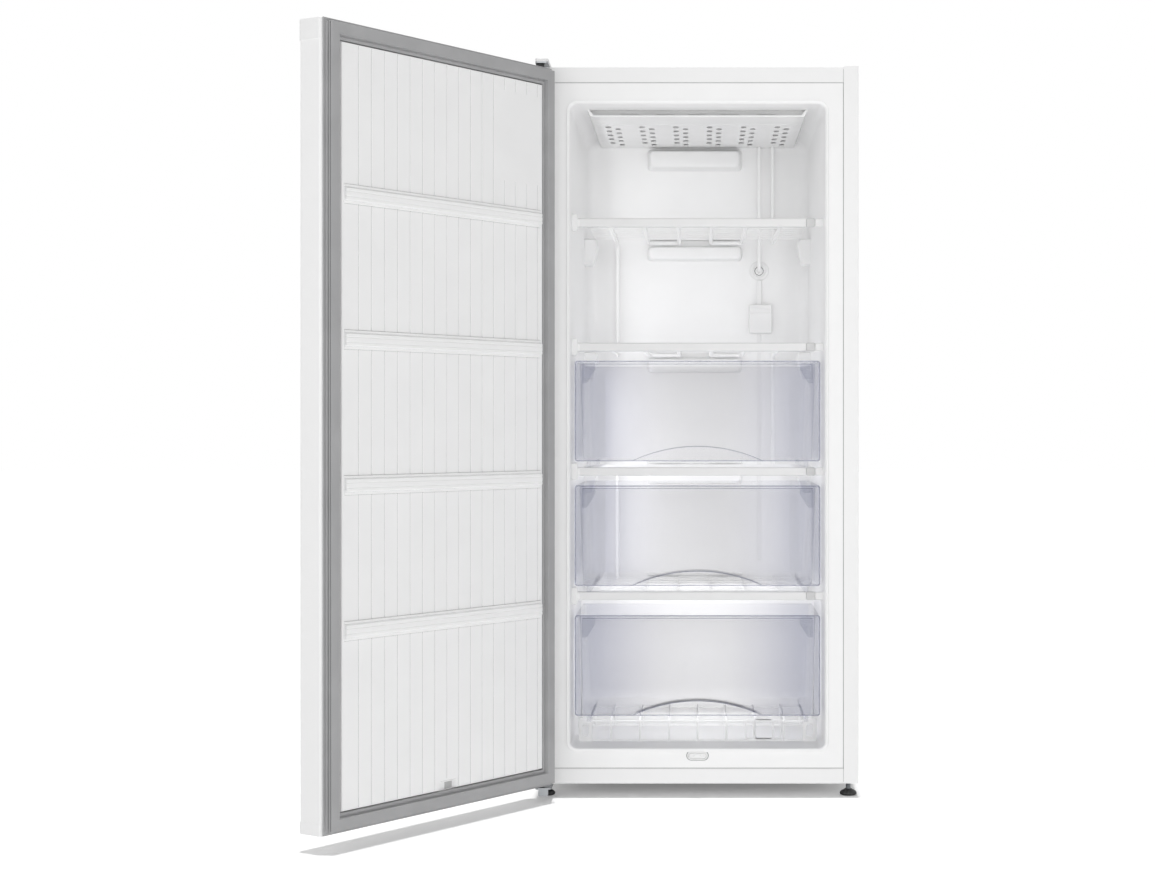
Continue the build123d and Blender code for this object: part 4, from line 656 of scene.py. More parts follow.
for side in (-1, 1):
    rim = rounded_polygon([(197, 0.2), (203, 0.2), (209.8, 14.7), (206, 14.7), (197, 2.4)],
                          [0.4, 3, 0.8, 0.8, 2])
    parts.append(stack([np.column_stack([side * rim[:, 0], np.full(len(rim), y),
                                         COVER_LOW + rim[:, 1]])
                        for y in (COVER_FRONT + 0.2, COVER_BACK - 0.2)]))
parts.append(slab(396, 3.0, 1.2, (0, COVER_FRONT + 0.4, COVER_LOW + 1.6), 3.0, 0.6))
parts.append(slab(394, 4, 1.8, (0, FRONT + 178, COVER_LOW - 0.3), 1.2, 0.5, up=(0, -1, 0)))
piece("air_cover", parts, "cabinet", moulded_white_abs, ["ceiling_cover"])
print("slots in the cover:", len(slots))

# %% [markdown]
# Behind the cover's front edge a baffle with short fins lets the air back in. Its grey is painted
# shade, for the shade in the gap where it stands, so it gets the grey ABS.

# %% Intake baffle
baffle = [slab(404, 10.8, 1.5, (0, COVER_FRONT + 12, COVER_LOW + 8.4), 1.6, 0.4)]
for x in (-130, -62, 0, 62, 130):
    baffle.append(slab(34, 1.6, 0.7, (x, COVER_FRONT + 6, COVER_LOW + 5.6), 6.2, 0.4))
piece("intake_baffle", baffle, "cabinet", grey_abs_and_painted_shade)

# %% [markdown]
# ## Fittings on the back wall
# The suction pipe leaves through a ring with a toothed rubber seal, in a shallow dish of the
# liner. All three are round, so each is a profile turned about the pipe's axis. Teeth could be
# an array of small blocks, but a wavy radius makes them in the same surface.


# %% Pipe ring
def turned(profile, centre, axis="z", sides=48, bored=False, flutes=0, flute=0.0):
    """Revolve a profile of (radius, height) round an axis: x = r cos a, y = r sin a.

    A bored piece's profile closes on itself. Flutes draw the radius in by a share, as
    r * (1 - flute * (0.5 + 0.5 cos(flutes * a))).
    """
    angle = np.linspace(0, 2 * math.pi, sides, endpoint=False)
    radius, height = (np.array(c, float)[:, None] for c in zip(*profile))
    radius = radius * (1 - flute * (0.5 + 0.5 * np.cos(flutes * angle)))
    flat = np.stack(np.broadcast_arrays(radius * np.cos(angle), radius * np.sin(angle), height), 2)
    order = {"x": [2, 0, 1], "y": [1, 2, 0], "z": [0, 1, 2]}[axis]
    return stack(flat[:, :, order] + np.asarray(centre, float), closed=bored)


hole = (SUCTION_X, LINER_BACK, GROMMET_Z)
outer_ring = [(12.6, 0.2), (12.6, -3.0), (13.6, -4.0), (19.4, -4.0), (20.6, -3.0), (20.6, 0.2)]
inner_ring = [(4.3, 0.2), (4.3, -2.6), (6.4, -2.6), (6.4, 0.2)]
toothed = [(7.4, 0.2), (7.4, -1.4), (9.5, -2.0), (12.5, -1.4), (12.5, 0.2)]
dish = [(20, 0.2), (20, -0.9), (24, -0.8), (28, -0.5), (31, 0.2)]
piece("pipe_ring", [turned(outer_ring, hole, "y", 64, bored=True),
                    turned(inner_ring, hole, "y", 40, bored=True)],
      "cabinet", moulded_white_abs, ["pipe_grommet"])
piece("pipe_seal", turned(toothed, hole, "y", 144, bored=True, flutes=16, flute=0.14),
      "cabinet", grey_rubber)
# The dish is in the greyer sheet: painted shade for the shade in its hollow round the ring.
piece("pipe_dish", turned(dish, hole, "y", 64, bored=True),
      "cabinet", painted_shade_polystyrene)

# %% [markdown]
# Under the ring sits the housing of the temperature sensor, a shallow box with two ribs, and its
# cable duct, which runs up to the ring and down behind the drawers. Rounded plates are enough.

# %% Sensor housing
BOX_X = 133
parts = [slab(48, 60, 4, (BOX_X, LINER_BACK - 18, 918), 18.2, 1.6),
         slab(10, 53, 2, (SUCTION_X, LINER_BACK - 10, 973.5), 10.2, 1.0),
         slab(40, 3, 1.2, (BOX_X, LINER_BACK - 18.9, 938), 2.0, 0.6),
         slab(40, 3, 1.2, (BOX_X, LINER_BACK - 18.9, 930), 2.0, 0.6),
         slab(10, 480, 2, (SUCTION_X, LINER_BACK - 2.4, 650), 2.6, 1.0)]
piece("sensor_box", parts, "cabinet", moulded_white_abs, ["sensor_housing"])

# %% [markdown]
# ## Clips for the shelf bars
# A tall hook on the left wall and a grey stub on the right wall hold each bar's ends. They are
# small moulded blocks, seen from the front alone, so plates with rounded corners and bevelled
# rims give their look. A thicker plate of the liner backs each stub.

# %% Shelf clips
hooks, stubs, plates = [], [], []
for level in SHELF_LEVELS:
    hooks += [slab(12.6, 33.6, 5, (-232.6, FRONT + 53, level), 12.0, 1.8),
              slab(16.5, 14, 4, (-230.6, FRONT + 54.6, level - 1), 0.5, 0.2)]
    stubs += [slab(17.0, 16, 3, (213.8, FRONT + 55, level), 10.0, 1.4),
              slab(13.5, 6, 2, (215.6, FRONT + 54.6, level - 4.6), 3.0, 0.8)]
    plates.append(slab(17.4, 15, 3, (230.4, FRONT + 57, level), 7.0, 1.4))
piece("bar_hooks", hooks, "cabinet", moulded_white_abs, ["shelf_clips_left"])
piece("bar_stubs", stubs, "cabinet", grey_abs_and_painted_shade, ["shelf_clips_right"])
piece("stub_plates", plates, "cabinet", vacuum_formed_polystyrene)

# %% [markdown]
# ## Wire rack on the floor
# A rack of round wires keeps the food off the frosty floor. Each wire is a tube with two bends,
# and two level wires cross them at the front and the back. Two loops of wire stand at the right,
# and each end has a flat clip: both are frames whose section closes on itself, which saves the
# seam that a tube bent into a loop would have.


# %% Floor rack
def hoop(sizes, centre, steps=6):
    """A ring-shaped frame that faces the front, whose section closes on itself.

    Each size is (width, height, corner radius, level); the level is how far that line of the
    section stands out to the front.
    """
    rings = [on_plane(rounded_rectangle(w, h, r, steps), np.asarray(centre) - [0, level, 0])
             for w, h, r, level in sizes]
    return stack(rings, closed=True)


RACK_TOP, WIRE, RACK_HALF = MOUTH_LOW + 45, 1.9, 214
rack_xs = [-205.0] + [55.0 * (k - 3) for k in range(7)] + [205.0]
rack_front, rack_back = FRONT + 100, FRONT + 310
parts = []
for x in rack_xs:
    corners = [(x, rack_front, MOUTH_LOW + 3), (x, rack_front, RACK_TOP - 2),
               (x, rack_back, RACK_TOP - 2), (x, rack_back, MOUTH_LOW + 3)]
    parts.append(tube(corners, WIRE, 5.0, SIDEWAYS, sides=10))
for y in (rack_front, rack_back):
    for z in (RACK_TOP - 6, MOUTH_LOW + 2.4):
        parts.append(tube([(-RACK_HALF, y, z), (RACK_HALF, y, z)], WIRE, 0, UP, sides=10))
section = [(52 + 2.6 * math.cos(a), 36 + 2.6 * math.cos(a), 5 + 1.3 * math.cos(a),
            1.3 * math.sin(a)) for a in np.linspace(0, 2 * math.pi, 10, endpoint=False)]
clip = [(26, 45, 4, 0), (26, 45, 4, 2.2), (25, 44, 3.5, 3), (13, 24, 3, 3), (12, 23, 3, 2.2),
        (12, 23, 3, 0)]
parts += [hoop(section, (x, rack_front - 3.9, MOUTH_LOW + 25)) for x in (118.0, 133.0)]
parts += [hoop(clip, (side * 213.7, rack_front - 2.2, MOUTH_LOW + 22.8)) for side in (-1, 1)]
piece("wire_rack", parts, "cabinet", coated_wire_finish, ["floor_rack"])

# %% [markdown]
# ## Drain
# Melt water leaves by an oval sleeve with a rolled lip, shut by a stopper with a finger tab. The
# oval is a rectangle whose corners take up its whole height, so the same frames and plates make
# all of it, and the stopper is a piece of its own because it pulls out.

# %% Drain
DRAIN = (0, FLANGE, DRAIN_Z)
sleeve = [(33.8, 10.8, 5.4, -28), (33.8, 10.8, 5.4, 2.2), (34.6, 11.6, 5.8, 3.0),
          (38, 15, 7.5, 3.0), (39, 16, 8, 2.2), (39, 16, 8, -34), (33.8, 10.8, 5.4, -34)]
joint = [(41.5, 18.5, 9.2, 0), (41.5, 18.5, 9.2, 0.5), (39, 16, 8, 0.5), (39, 16, 8, 0)]
rib = [(27, 5.4, 2.6, 3.0), (27, 5.4, 2.6, 3.7), (24.6, 3, 1.4, 3.7), (24.6, 3, 1.4, 3.0)]
piece("drain_sleeve", hoop(sleeve, DRAIN, 10), "cabinet", moulded_white_abs,
      ["drain_spout"])
# A thin grey ring of painted shade, for the shaded gap between the sleeve and the flange.
piece("drain_gap_shade", hoop(joint, DRAIN, 10), "cabinet", painted_joint_shade)
piece("drain_stopper", [slab(33.2, 10.2, 5.1, (0, FLANGE - 3, DRAIN_Z), 30, 1.2, steps=10),
                        slab(12, 3, 1.4, (0, FLANGE - 6, DRAIN_Z), 4.0, 0.8), hoop(rib, DRAIN)],
      "drain_plug", moulded_white_abs, ["drain_plug"])

# %% [markdown]
# ## Feet and rollers
# The front stands on two levelling feet, each a moulded base on a threaded stud, and the back on
# two rollers. They are turned shapes. The feet's rims are fluted for the fingers that turn them,
# and a thread this fine reads the same as rings, so its profile is a zigzag and not a helix.

# %% Feet and rollers
THREAD_PITCH = 1.35
foot = [(0, 0), (13, 0), (15.4, 1.2), (16, 3.2), (15.6, 5.4), (13, 8.2), (8.5, 10.2), (6.5, 11.2),
        (6.4, 12.0), (0, 12.0)]
stud = [(0, 11.5)]
for k in range(26):
    stud += [(4.9, 12 + THREAD_PITCH * k), (4.3, 12.6 + THREAD_PITCH * k)]
stud += [(4.0, 47.8), (0, 47.8)]
for side, name in ((-1, "foot_left"), (1, "foot_right")):
    place = (side * 283.0, FRONT + 32, 0)
    piece(name + "_base", turned(foot, place, sides=96, flutes=24, flute=0.03), name,
          moulded_black_abs, [name])
    piece(name + "_stud", turned(stud, place, sides=32), name, zinc_plated_steel)
tread = [(4.1, -8.5), (7, -9), (15, -9), (16.5, -7.8), (18, -7.8), (19, -6.5), (19, 6.5),
         (18, 7.8), (16.5, 7.8), (15, 9), (7, 9), (4.1, 8.5)]
for side, name in ((-1, "roller_left"), (1, "roller_right")):
    piece(name + "_tread", turned(tread, (side * 262.0, 253.0, 19.0), "x", 64, bored=True), name,
          moulded_black_abs, [name])

# %% [markdown]
# ## Machine compartment
# The compressor is a black pot of two drawn shells with a welded rim, on a foot plate and four
# rubber mounts. Copper pipes and a dryer cartridge leave it. All of it is turned or swept, like
# the real ones, which are drawn, spun and bent from tube.

# %% Compressor
POT = (-70.0, 197.0)
PLATE = 45.5
profile = [(0, 0), (64, 0), (70, 3), (72, 9), (72, 62), (75, 63.5), (75, 68.5), (72, 70), (72, 116)]
profile += [(36 + 36 * math.cos(a), 116 + 36 * math.sin(a))
            for a in np.linspace(0, math.pi / 2, 9)[1:]] + [(0, 152)]
foot_plate = slab(172, 124, 16, (*POT, PLATE), 3.0, 0.8, up=(0, 1, 0))
piece("compressor_pot", [turned(profile, (*POT, PLATE), sides=72), foot_plate], "cabinet",
      black_compressor_enamel, ["compressor"])
mount = [(0, 0), (9, 0), (10, 1.5), (10, 4.5), (8, 6), (8, 8), (10, 9.5), (10, 12.5), (9, 14),
         (0, 14)]
piece("rubber_feet", [turned(mount, (POT[0] + i * 74, POT[1] + j * 50, 28.5), sides=32)
                      for i in (-1, 1) for j in (-1, 1)],
      "cabinet", black_rubber, ["compressor_mounts"])

# %% [markdown]
# Copper pipes leave the pot, and a dryer cartridge with swaged ends hangs in the line. The pipes
# are swept with one even bend, as a bending tool leaves them, and the cartridge is turned.

# %% Pipes and dryer
PIPE_Y, PIPE, PIPE_BEND = 98.0, 3.2, 12
piece("copper_pipes", [
    tube([(-142.3, 197, 120), (-200, 197, 120), (-200, 80.3, 120)], PIPE, PIPE_BEND, UP),
    tube([(-70, 124.7, 96), (-70, PIPE_Y, 96), (-70, PIPE_Y, 299.7)], PIPE, PIPE_BEND, SIDEWAYS),
    tube([(120, PIPE_Y, 119.7), (120, PIPE_Y, 92), (120, 80.3, 92)], PIPE, PIPE_BEND, SIDEWAYS)],
    "cabinet", bright_copper_tube, ["machine_pipes"])
cartridge = [(0, 120), (3.2, 120), (3.4, 124), (9, 130), (10, 134), (10, 216), (9, 220), (3.4, 226),
             (3.2, 230), (3.2, 299.6), (0, 299.6)]
piece("dryer_cartridge", turned(cartridge, (120, PIPE_Y, 0), sides=32), "cabinet",
      bright_copper_tube, ["filter_dryer"])

# %% [markdown]
# ## The door's moulded liner
# The door's inner face is one more drawn sheet: a raised field with upright grooves, crossed by
# four stepped mouldings, with a notch at its lower edge. Modelling each groove by hand would be
# slow to change. It is a relief instead: a height over the door's face for each place on a grid,
# whose lines are close only where the surface bends.

# %% Height of the door liner
DOOR_HALF, DOOR_LOW, DOOR_HIGH = 299.0, 29.0, 1352.0
DOOR_FACE = FRONT - 15.2
MARGIN, FIELD_RISE = 35.1, 8.0  # the gasket's margin round the field, and the field's height
FIELD_HALF, FIELD_LOW, FIELD_HIGH = DOOR_HALF - MARGIN, DOOR_LOW + MARGIN, DOOR_HIGH - MARGIN
GROOVE_HALF, GROOVE_DEPTH, GROOVE_STOP = 1.5, 1.25, 3  # it stops 3 mm short of the field's rim
MOULDING_HALF = 15.5
GROOVES = -DOOR_HALF + 50 + 31.44 * np.arange(16)
MOULDINGS = 357.4 + 237.4 * np.arange(4)
PLAIN_GROOVES, PLAIN_LOW, PLAIN_HIGH = 4, 1131, 1292  # a smooth patch near the upper hinge
NOTCH_HALF, NOTCH_TOP = 20, 14
NOTCH_CLEAR, NOTCH_STOP = 23, 20  # a groove this near the notch stops this far over the rim


def smooth(t):
    """An S-shaped step: 3 t^2 - 2 t^3 between 0 and 1."""
    t = np.clip(t, 0, 1)
    return t * t * (3 - 2 * t)


def field_height(x, z):
    """Height over the door's face at each x and z.

    The raised field is rise * smooth(distance to its rim / 2 mm). A groove takes away
    depth * (1 - |x - groove| / 1.5 mm), and a moulding adds a stepped hump.
    """
    rim = np.minimum(FIELD_HALF - np.abs(x), np.minimum(z - FIELD_LOW, FIELD_HIGH - z))
    notch = np.maximum(np.abs(x) - NOTCH_HALF, z - FIELD_LOW - NOTCH_TOP)
    height = FIELD_RISE * np.minimum(smooth(rim / 2.0), smooth(notch / 2.4))
    distances = np.abs(x[..., None] - GROOVES)
    near, which = distances.min(-1), distances.argmin(-1)
    off = np.abs(z[..., None] - MOULDINGS).min(-1)
    stop = np.where(np.abs(x) < NOTCH_CLEAR, NOTCH_STOP, GROOVE_STOP)
    grooved = (z > FIELD_LOW + stop) & (z < FIELD_HIGH - GROOVE_STOP) & (off > MOULDING_HALF)
    grooved &= ~((which < PLAIN_GROOVES) & (z > PLAIN_LOW) & (z < PLAIN_HIGH))
    height = height - GROOVE_DEPTH * np.clip(1 - near / GROOVE_HALF, 0, 1) * grooved
    # A moulding: a foot 2 mm high, a body 3.4 mm higher, two creases and a soft end at each side.
    along = smooth((FIELD_HALF - 6 - np.abs(x)) / 1.5)
    hump = 2.0 * smooth((16.2 - off) / 1.2) + 3.4 * smooth((11.4 - off) / 2.6)
    hump = hump - 0.9 * np.clip(1 - np.abs(off - 4.2) / 1.2, 0, 1)
    return height + hump * along


print("grooves:", len(GROOVES), "mouldings at", MOULDINGS)

# %% [markdown]
# The grid has evenly spaced lines, and more at the field's rim, at each groove and at each
# moulding. Its border is carried down to a flat back, which makes the sheet a closed plate.


# %% Door liner
def grid_lines(low, high, step, marks):
    """Evenly spaced lines, plus the marked places where the surface bends."""
    even = np.linspace(low, high, int((high - low) / step) + 1)
    marks = np.unique(np.round(np.concatenate(marks), 3))
    gap = np.abs(even[:, None] - marks).min(1)
    return np.unique(np.concatenate([even[gap > step / 3], marks, [low, high]]))


def relief(x_lines, z_lines, base):
    """A closed plate: the relief over the grid, with its border carried down to a flat back."""
    x, z = np.meshgrid(x_lines, z_lines)
    points = np.stack([x, DOOR_FACE + field_height(x, z), z], 2)
    rows, columns = x.shape
    faces = grid_faces(rows, columns, closed_columns=False)
    index = np.arange(rows * columns).reshape(rows, columns)
    border = np.concatenate([index[0, :-1], index[:-1, -1], index[-1, :0:-1], index[:0:-1, 0]])
    under = points.reshape(-1, 3)[border].copy()
    under[:, 1] = base
    start = rows * columns
    ring = np.arange(len(border))
    following = np.roll(ring, -1)
    faces += np.stack([border, border[following], start + following, start + ring], 1).tolist()
    faces.append((start + ring).tolist())
    return np.concatenate([points.reshape(-1, 3), under]), faces


rim_steps = np.array([0, 0.4, 0.8, 1.2, 1.6, 2.0])
moulding_steps = np.array([0, 3.0, 3.6, 4.2, 4.8, 5.4, 8.8, 9.6, 10.4, 11.4, 15, 15.4, 15.6, 16.2])
x_marks = [GROOVES + share * GROOVE_HALF for share in (-1, -0.5, 0, 0.5, 1)]
x_marks += [side * (FIELD_HALF - steps) for side in (-1, 1)
            for steps in (rim_steps, np.array([6, 6.5, 7, 7.5]))]
x_marks += [side * np.array([NOTCH_HALF, NOTCH_HALF + 1.5, NOTCH_CLEAR]) for side in (-1, 1)]
stop_steps = np.array([GROOVE_STOP, GROOVE_STOP + 0.1])
z_marks = [FIELD_LOW + rim_steps, FIELD_HIGH - rim_steps,
           FIELD_LOW + stop_steps, FIELD_HIGH - stop_steps,
           FIELD_LOW + NOTCH_TOP + np.arange(4.0), FIELD_LOW + NOTCH_STOP + np.array([0, 0.1]),
           np.array([PLAIN_LOW, PLAIN_LOW + 0.1, PLAIN_HIGH - 0.1, PLAIN_HIGH])]
z_marks += [MOULDINGS + sign * step for sign in (-1, 1) for step in moulding_steps]
door_face = relief(grid_lines(-DOOR_HALF + 3, DOOR_HALF - 3, 12, x_marks),
                   grid_lines(DOOR_LOW + 3, DOOR_HIGH - 3, 16, z_marks), DOOR_FACE - 1.9)
piece("door_inner_face", door_face, "door", vacuum_formed_polystyrene,
      ["door_liner"], sharp=24)

# %% [markdown]
# The relief catches less light on the far side of each groove, at the mouldings' creases and in
# the notch, so narrow strips of painted shade, in the greyer tone, lie there. A pattern in the
# shader could do this too, but a strip is part of the mesh.


# %% Painted shade lines of the door liner
def strip(x_low, x_high, z_low, z_high, level):
    """A thin strip of painted shade on the relief: a closed box, level mm over the door's face."""
    centre = ((x_low + x_high) / 2, DOOR_FACE + level - 0.3, (z_low + z_high) / 2)
    return slab(x_high - x_low, z_high - z_low, 0.3, centre, 0.3, 0.1, across=(-1, 0, 0), steps=2)


parts = []
breaks = [FIELD_LOW + GROOVE_STOP, FIELD_HIGH - GROOVE_STOP]
breaks[1:1] = [m + side * MOULDING_HALF for m in MOULDINGS for side in (-1, 1)]
for low, high in zip(breaks[::2], breaks[1::2]):
    for which, x in enumerate(GROOVES):
        over_notch = low < MOULDINGS[0] and abs(x) < NOTCH_CLEAR
        spans = [(FIELD_LOW + NOTCH_STOP if over_notch else low, high)]
        if which < PLAIN_GROOVES and high > PLAIN_HIGH:
            spans = [(low, PLAIN_LOW), (PLAIN_HIGH, high)]
        parts += [strip(x - GROOVE_HALF, x - 0.3, *span, FIELD_RISE - 0.2) for span in spans]
inner = FIELD_HALF - 7
for middle in MOULDINGS:
    for offset, level in ((15.9, 8.9), (11.2, 10.3), (-11.2, 10.3), (-15.9, 8.9), (4.2, 12.7),
                          (-4.2, 12.7)):
        parts.append(strip(-inner, inner, middle + offset - 0.5, middle + offset + 0.5, level))
# A painted shade line over the notch, and painted shade on the half inside it.
parts.append(strip(-NOTCH_HALF, NOTCH_HALF, FIELD_LOW + 16.2, FIELD_LOW + 17.3, FIELD_RISE + 0.1))
parts.append(strip(-NOTCH_HALF + 0.5, 0, FIELD_LOW + 0.6, FIELD_LOW + NOTCH_TOP - 1.5, 0.4))
piece("liner_shade_lines", parts, "door", painted_shade_polystyrene)

# %% [markdown]
# ## The door's gasket
# A soft extrusion with a foot, a bellows and a magnet head, cut at 45 degrees and welded at the
# corners. A curve with a bevel object would round those corners off, so the section is carried
# round the door as rectangles, one for each of its points. A point is (distance from the outer
# edge, height over the door's face).

# %% Gasket
SEAL_MARGIN = 7  # from the door's edge to the section's outer edge


def round_the_door(section):
    """Carry a section of (distance in, height) round the door, mitred at its four corners."""
    inset, rise = np.array(section, float).T
    rings = []
    for sx, sz in ((-1, -1), (1, -1), (1, 1), (-1, 1)):
        x = sx * (DOOR_HALF - SEAL_MARGIN - inset)
        z = DOOR_LOW + SEAL_MARGIN + inset if sz < 0 else DOOR_HIGH - SEAL_MARGIN - inset
        rings.append(np.column_stack([x, DOOR_FACE + rise, z]))
    return stack(rings, closed=True)


foot_and_lip = [(-5.8, 0.1), (-5.8, 1.4), (-5.2, 1.9), (0, 2.2), (0.6, 4.6), (3.2, 5.4)]
bellows = [(3.5, 7.4), (0.6, 8.6), (0.2, 9.4), (0.6, 10.2), (2.4, 10.6), (2.4, 11.4), (0.5, 12.2)]
magnet_head = [(0.2, 13.4), (0.9, 14.5), (2.0, 14.6), (18.2, 14.6), (19.4, 14.2), (19.8, 13.2)]
inner_lip = [(20.0, 7.4), (20.6, 6.4), (21.6, 6.4), (22.2, 7.4), (22.8, 8.0), (26.4, 8.0),
             (27.3, 7.2), (27.5, 4.0), (27.5, 0.1)]
undercut = [(1.5, 10.5), (1.5, 11.5), (3.0, 11.5), (3.0, 10.5)]
piece("door_seal", round_the_door(foot_and_lip + bellows + magnet_head + inner_lip), "door",
      extruded_grey_pvc, ["door_gasket"], sharp=35)
# A band of painted shade in the undercut behind the magnet head.
piece("seal_undercut_shade", round_the_door(undercut), "door", painted_shade_pvc)

# %% [markdown]
# ## Clear drawers
# The tubs keep their CAD solids, in clear plastic. What the eye reads on them is their edges,
# because light gathers there: the rim of the front, a rib behind it, the stops in its upper
# corners and the bead over the finger scoop. A shader could find edges only by view or by
# curvature, so these are thin pieces in a denser tint.

# %% Drawer edges
DRAWER_FLOORS = [625.5, 390.3, 145.3]
DRAWER_FRONT, DRAWER_WIDTH, DRAWER_HEIGHT = FRONT + 50, 463.0, 189.5
ARCH_WIDTH, ARCH_HEIGHT, ARCH_POINTS = 244.0, 27.0, 33
arch_radius = ((ARCH_WIDTH / 2) ** 2 + ARCH_HEIGHT ** 2) / (2 * ARCH_HEIGHT)
arch_half = math.asin(ARCH_WIDTH / 2 / arch_radius)
sweep = np.linspace(-arch_half, arch_half, ARCH_POINTS)
rim_section = [(0, 5, -2.6), (0, 5, 0.2), (0.8, 4.6, 0.6), (3.2, 3.4, 0.6), (4, 3, 0.2),
               (4, 3, -2.6)]
stop_outline = rounded_polygon([(0, 0), (25, 0), (25, -12), (9, -38), (0, -38)], [4, 4, 8, 5, 2])
for number, floor in enumerate(DRAWER_FLOORS, start=1):
    body = f"drawer_{number}"
    edge = hoop([(DRAWER_WIDTH - inset, DRAWER_HEIGHT - inset, radius, level)
                 for inset, radius, level in rim_section],
                (0, DRAWER_FRONT, floor + DRAWER_HEIGHT / 2))
    rib = slab(436, 1.2, 0.5, (0, DRAWER_FRONT + 2.4, floor + DRAWER_HEIGHT - 6), 3, 0.4)
    lugs = []
    for side in (-1, 1):
        x, z = side * (218 - stop_outline[:, 0]), stop_outline[:, 1] + floor + DRAWER_HEIGHT - 4
        lugs.append(stack([np.column_stack([x, np.full(len(x), DRAWER_FRONT + y), z])
                           for y in (2.4, 3.6)]))
    arc = np.column_stack([arch_radius * np.sin(sweep), np.full(ARCH_POINTS, DRAWER_FRONT + 0.4),
                           floor + ARCH_HEIGHT + 1.2 - arch_radius * (1 - np.cos(sweep))])
    bead = tube(arc, 0.9, 0, (0, -1, 0), sides=10)
    piece(f"drawer_edges_{number}", [edge, rib], body, clear_blue_polystyrene_edge)
    piece(f"drawer_lugs_{number}", lugs, body, clear_blue_polystyrene)
    piece(f"drawer_bead_{number}", bead, body, clear_blue_polystyrene_bead)

# %% [markdown]
# ## Finishes for the CAD pieces that stay
# A piece whose solid is already right, such as a folded panel or a bar, keeps it and only gets
# its finish. A table of finishes is easier to read and to change than a line for each piece.

# %% Finishes on CAD nodes
FINISHES = {
    powder_paint_on_steel: ["side_panel_left", "side_panel_right", "top_panel", "bottom_pan",
                            "door_outer_panel"],
    moulded_white_abs: ["door_top_cap", "door_bottom_cap", "hinge_cover", "door_handle_cup"],
    moulded_black_abs: ["door_hinge_bushes", "leg_bushes", "relay_cover", "cord_gland"],
    coated_bar: ["shelf_rail_1", "shelf_rail_2", "shelf_rail_3", "shelf_rail_4"],
    clear_blue_polystyrene: ["drawer_1", "drawer_2", "drawer_3"],
    black_rubber: ["gasket_magnets"],
    rigid_foam: ["insulation_foam", "door_insulation"],
    galvanised_steel: ["back_panel", "compressor_carrier", "roller_forks"],
    zinc_plated_steel: ["roller_axles", "hinge_screws", "hinge_pins", "hinge_bracket_top",
                        "hinge_bracket_bottom"],
    painted_plate: ["ceiling_evaporator"],
    bright_copper_tube: ["condenser_tubes"],
}
for material, names in FINISHES.items():
    for name in names:
        cad_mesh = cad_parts[name].data
        cad_mesh.materials.clear()
        cad_mesh.materials.append(material)
print("CAD pieces finished:", sum(len(names) for names in FINISHES.values()))

# %% [markdown]
# ## Background
# A studio product picture: a white background and an even light. A white wall lit until it is
# white would also light the object, so the world is white only to the camera, to reflections and
# through clear plastic, and dimmer as a light.

# %% World
world = bpy.data.worlds.new("studio")
bpy.context.scene.world = world
world.use_nodes = True
sky = world.node_tree
sky.nodes.clear()
rays = node(sky, "ShaderNodeLightPath")
seen = node(sky, "ShaderNodeMath", [(0, rays.outputs["Is Camera Ray"]),
                                    (1, rays.outputs["Is Glossy Ray"])], operation="MAXIMUM")
seen = node(sky, "ShaderNodeMath", [(0, seen.outputs[0]),
                                    (1, rays.outputs["Is Transmission Ray"])], operation="MAXIMUM")
ambient = node(sky, "ShaderNodeBackground", Color=linear("#FFFFFF"), Strength=0.35)
backdrop = node(sky, "ShaderNodeBackground", Color=linear("#FFFFFF"), Strength=1.0)
mixed = node(sky, "ShaderNodeMixShader", [(0, seen.outputs[0]), (1, ambient.outputs[0]),
                                          (2, backdrop.outputs[0])])
node(sky, "ShaderNodeOutputWorld", [("Surface", mixed.outputs[0])])
print("world light:", ambient.inputs["Strength"].default_value)

# %% [markdown]
# ## Floor
# The floor is white paper that keeps the shadow. To the camera it also glows a little, which
# lifts it to the background's white and leaves the light on the object as it was.

# %% Floor
REACH, FLOOR_Z = 30.0, -0.0006
floor_mesh = bpy.data.meshes.new("studio_floor")
floor_mesh.from_pydata([(x * REACH, y * REACH, FLOOR_Z)
                        for x, y in ((-1, -1), (1, -1), (1, 1), (-1, 1))], [], [(0, 1, 2, 3)])
studio_floor = bpy.data.objects.new("studio_floor", floor_mesh)
bpy.context.scene.collection.objects.link(studio_floor)
matt_floor = bpy.data.materials.new("matt_studio_floor")
matt_floor.use_nodes = True
tree = matt_floor.node_tree
tree.nodes.clear()
paper = node(tree, "ShaderNodeBsdfDiffuse", Color=linear("#F4F4F4"))
glow = node(tree, "ShaderNodeEmission", Color=linear("#FFFFFF"), Strength=0.16)
lit = node(tree, "ShaderNodeAddShader", [(0, paper.outputs[0]), (1, glow.outputs[0])])
rays = node(tree, "ShaderNodeLightPath")
shown = node(tree, "ShaderNodeMixShader", [(0, rays.outputs["Is Camera Ray"]),
                                           (1, paper.outputs[0]), (2, lit.outputs[0])])
node(tree, "ShaderNodeOutputMaterial", [("Surface", shown.outputs[0])])
floor_mesh.materials.append(matt_floor)
print("floor:", 2 * REACH, "m wide")

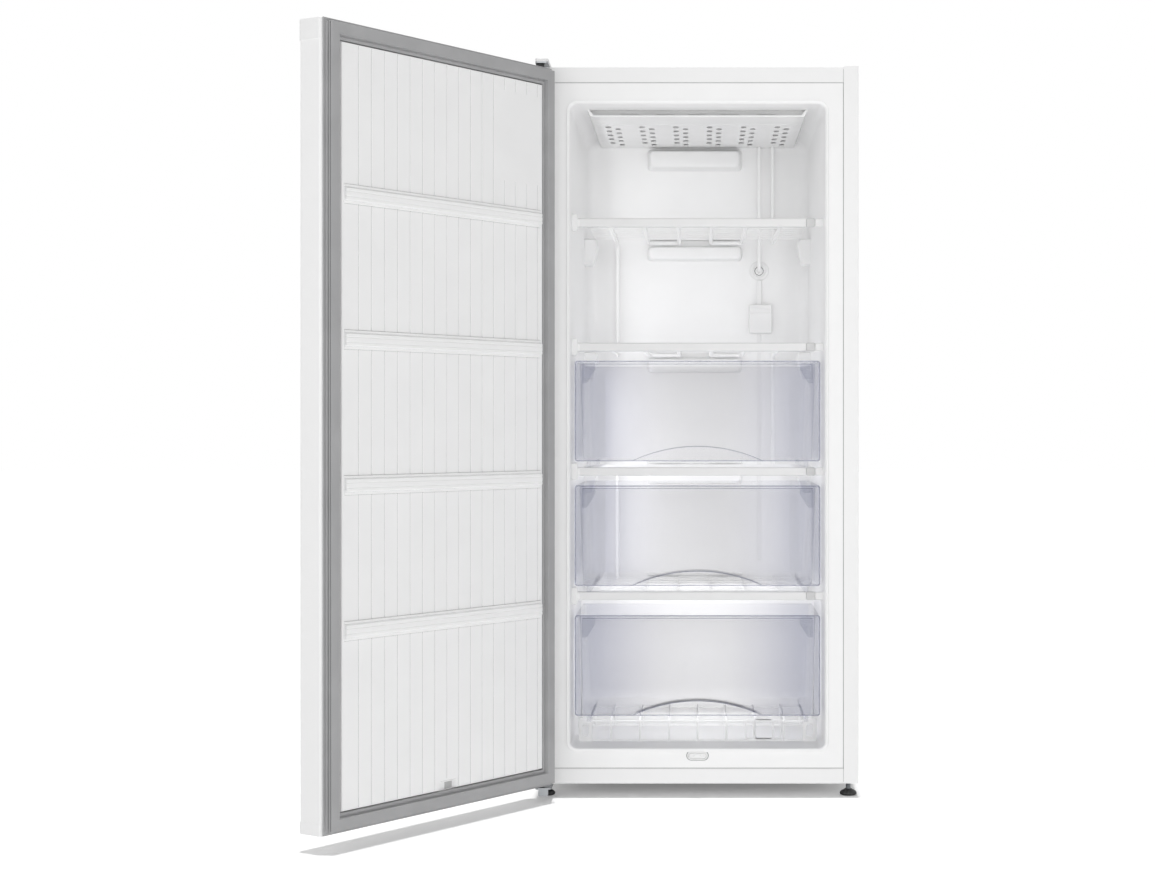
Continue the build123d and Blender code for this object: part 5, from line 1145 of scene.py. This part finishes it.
# %% [markdown]
# ## Lamps
# A wide lamp by the camera reaches the back wall and shines on the open door from its right, and
# a smaller one fills from the left. One sun stands straight overhead, because the photograph's
# shadow lies exactly under the cabinet and the door. Weak lamps inside the cabinet, one group to
# a zone, stand in for the light that white walls pass to and fro.


# %% Lamps
def soft_box(name, place, target, width, height, watts):
    """A rectangular area lamp that faces its target and doesn't show in the picture."""
    lamp = bpy.data.lights.new(name, "AREA")
    lamp.shape = "RECTANGLE"
    lamp.size, lamp.size_y, lamp.energy = width, height, watts
    made = bpy.data.objects.new(name, lamp)
    bpy.context.scene.collection.objects.link(made)
    made.location = place
    made.rotation_euler = (Vector(target) - Vector(place)).to_track_quat("-Z", "Y").to_euler()
    made.visible_camera = False


soft_box("front_box", (0.8, -4.7, 1.1), (0.0, 0.0, 0.7), 4.4, 2.4, 57.0)
soft_box("left_box", (-3.1, -3.9, 1.3), (-0.6, -0.7, 0.7), 1.6, 2.0, 18.0)
# Each zone: name, middle height and lamp height in metres, watts to the back, left and right.
ZONES = [("upper", 1.06, 0.42, 0.0, 0.095, 0.19),
         ("middle", 0.59, 0.42, 0.30, 0.27, 0.54),
         ("bottom", 0.235, 0.19, 0.38, 0.0, 0.0)]
for zone, middle, height, back, left, right in ZONES:
    if back:
        soft_box(f"{zone}_fill_back", (0, -0.205, middle), (0, 0.2, middle), 0.44, height, back)
    if left:
        soft_box(f"{zone}_fill_left", (0.19, 0, middle), (-0.2, 0, middle), 0.40, height, left)
        soft_box(f"{zone}_fill_right", (-0.19, 0, middle), (0.2, 0, middle), 0.40, height, right)
overhead = bpy.data.lights.new("overhead_sun", "SUN")
overhead.energy, overhead.angle = 1.9, math.radians(1.0)
bpy.context.scene.collection.objects.link(bpy.data.objects.new("overhead_sun", overhead))
print("lamps:", len(bpy.data.lights))

# %% [markdown]
# The Standard view shows a colour as it is written.

# %% View
bpy.context.scene.view_settings.view_transform = "Standard"
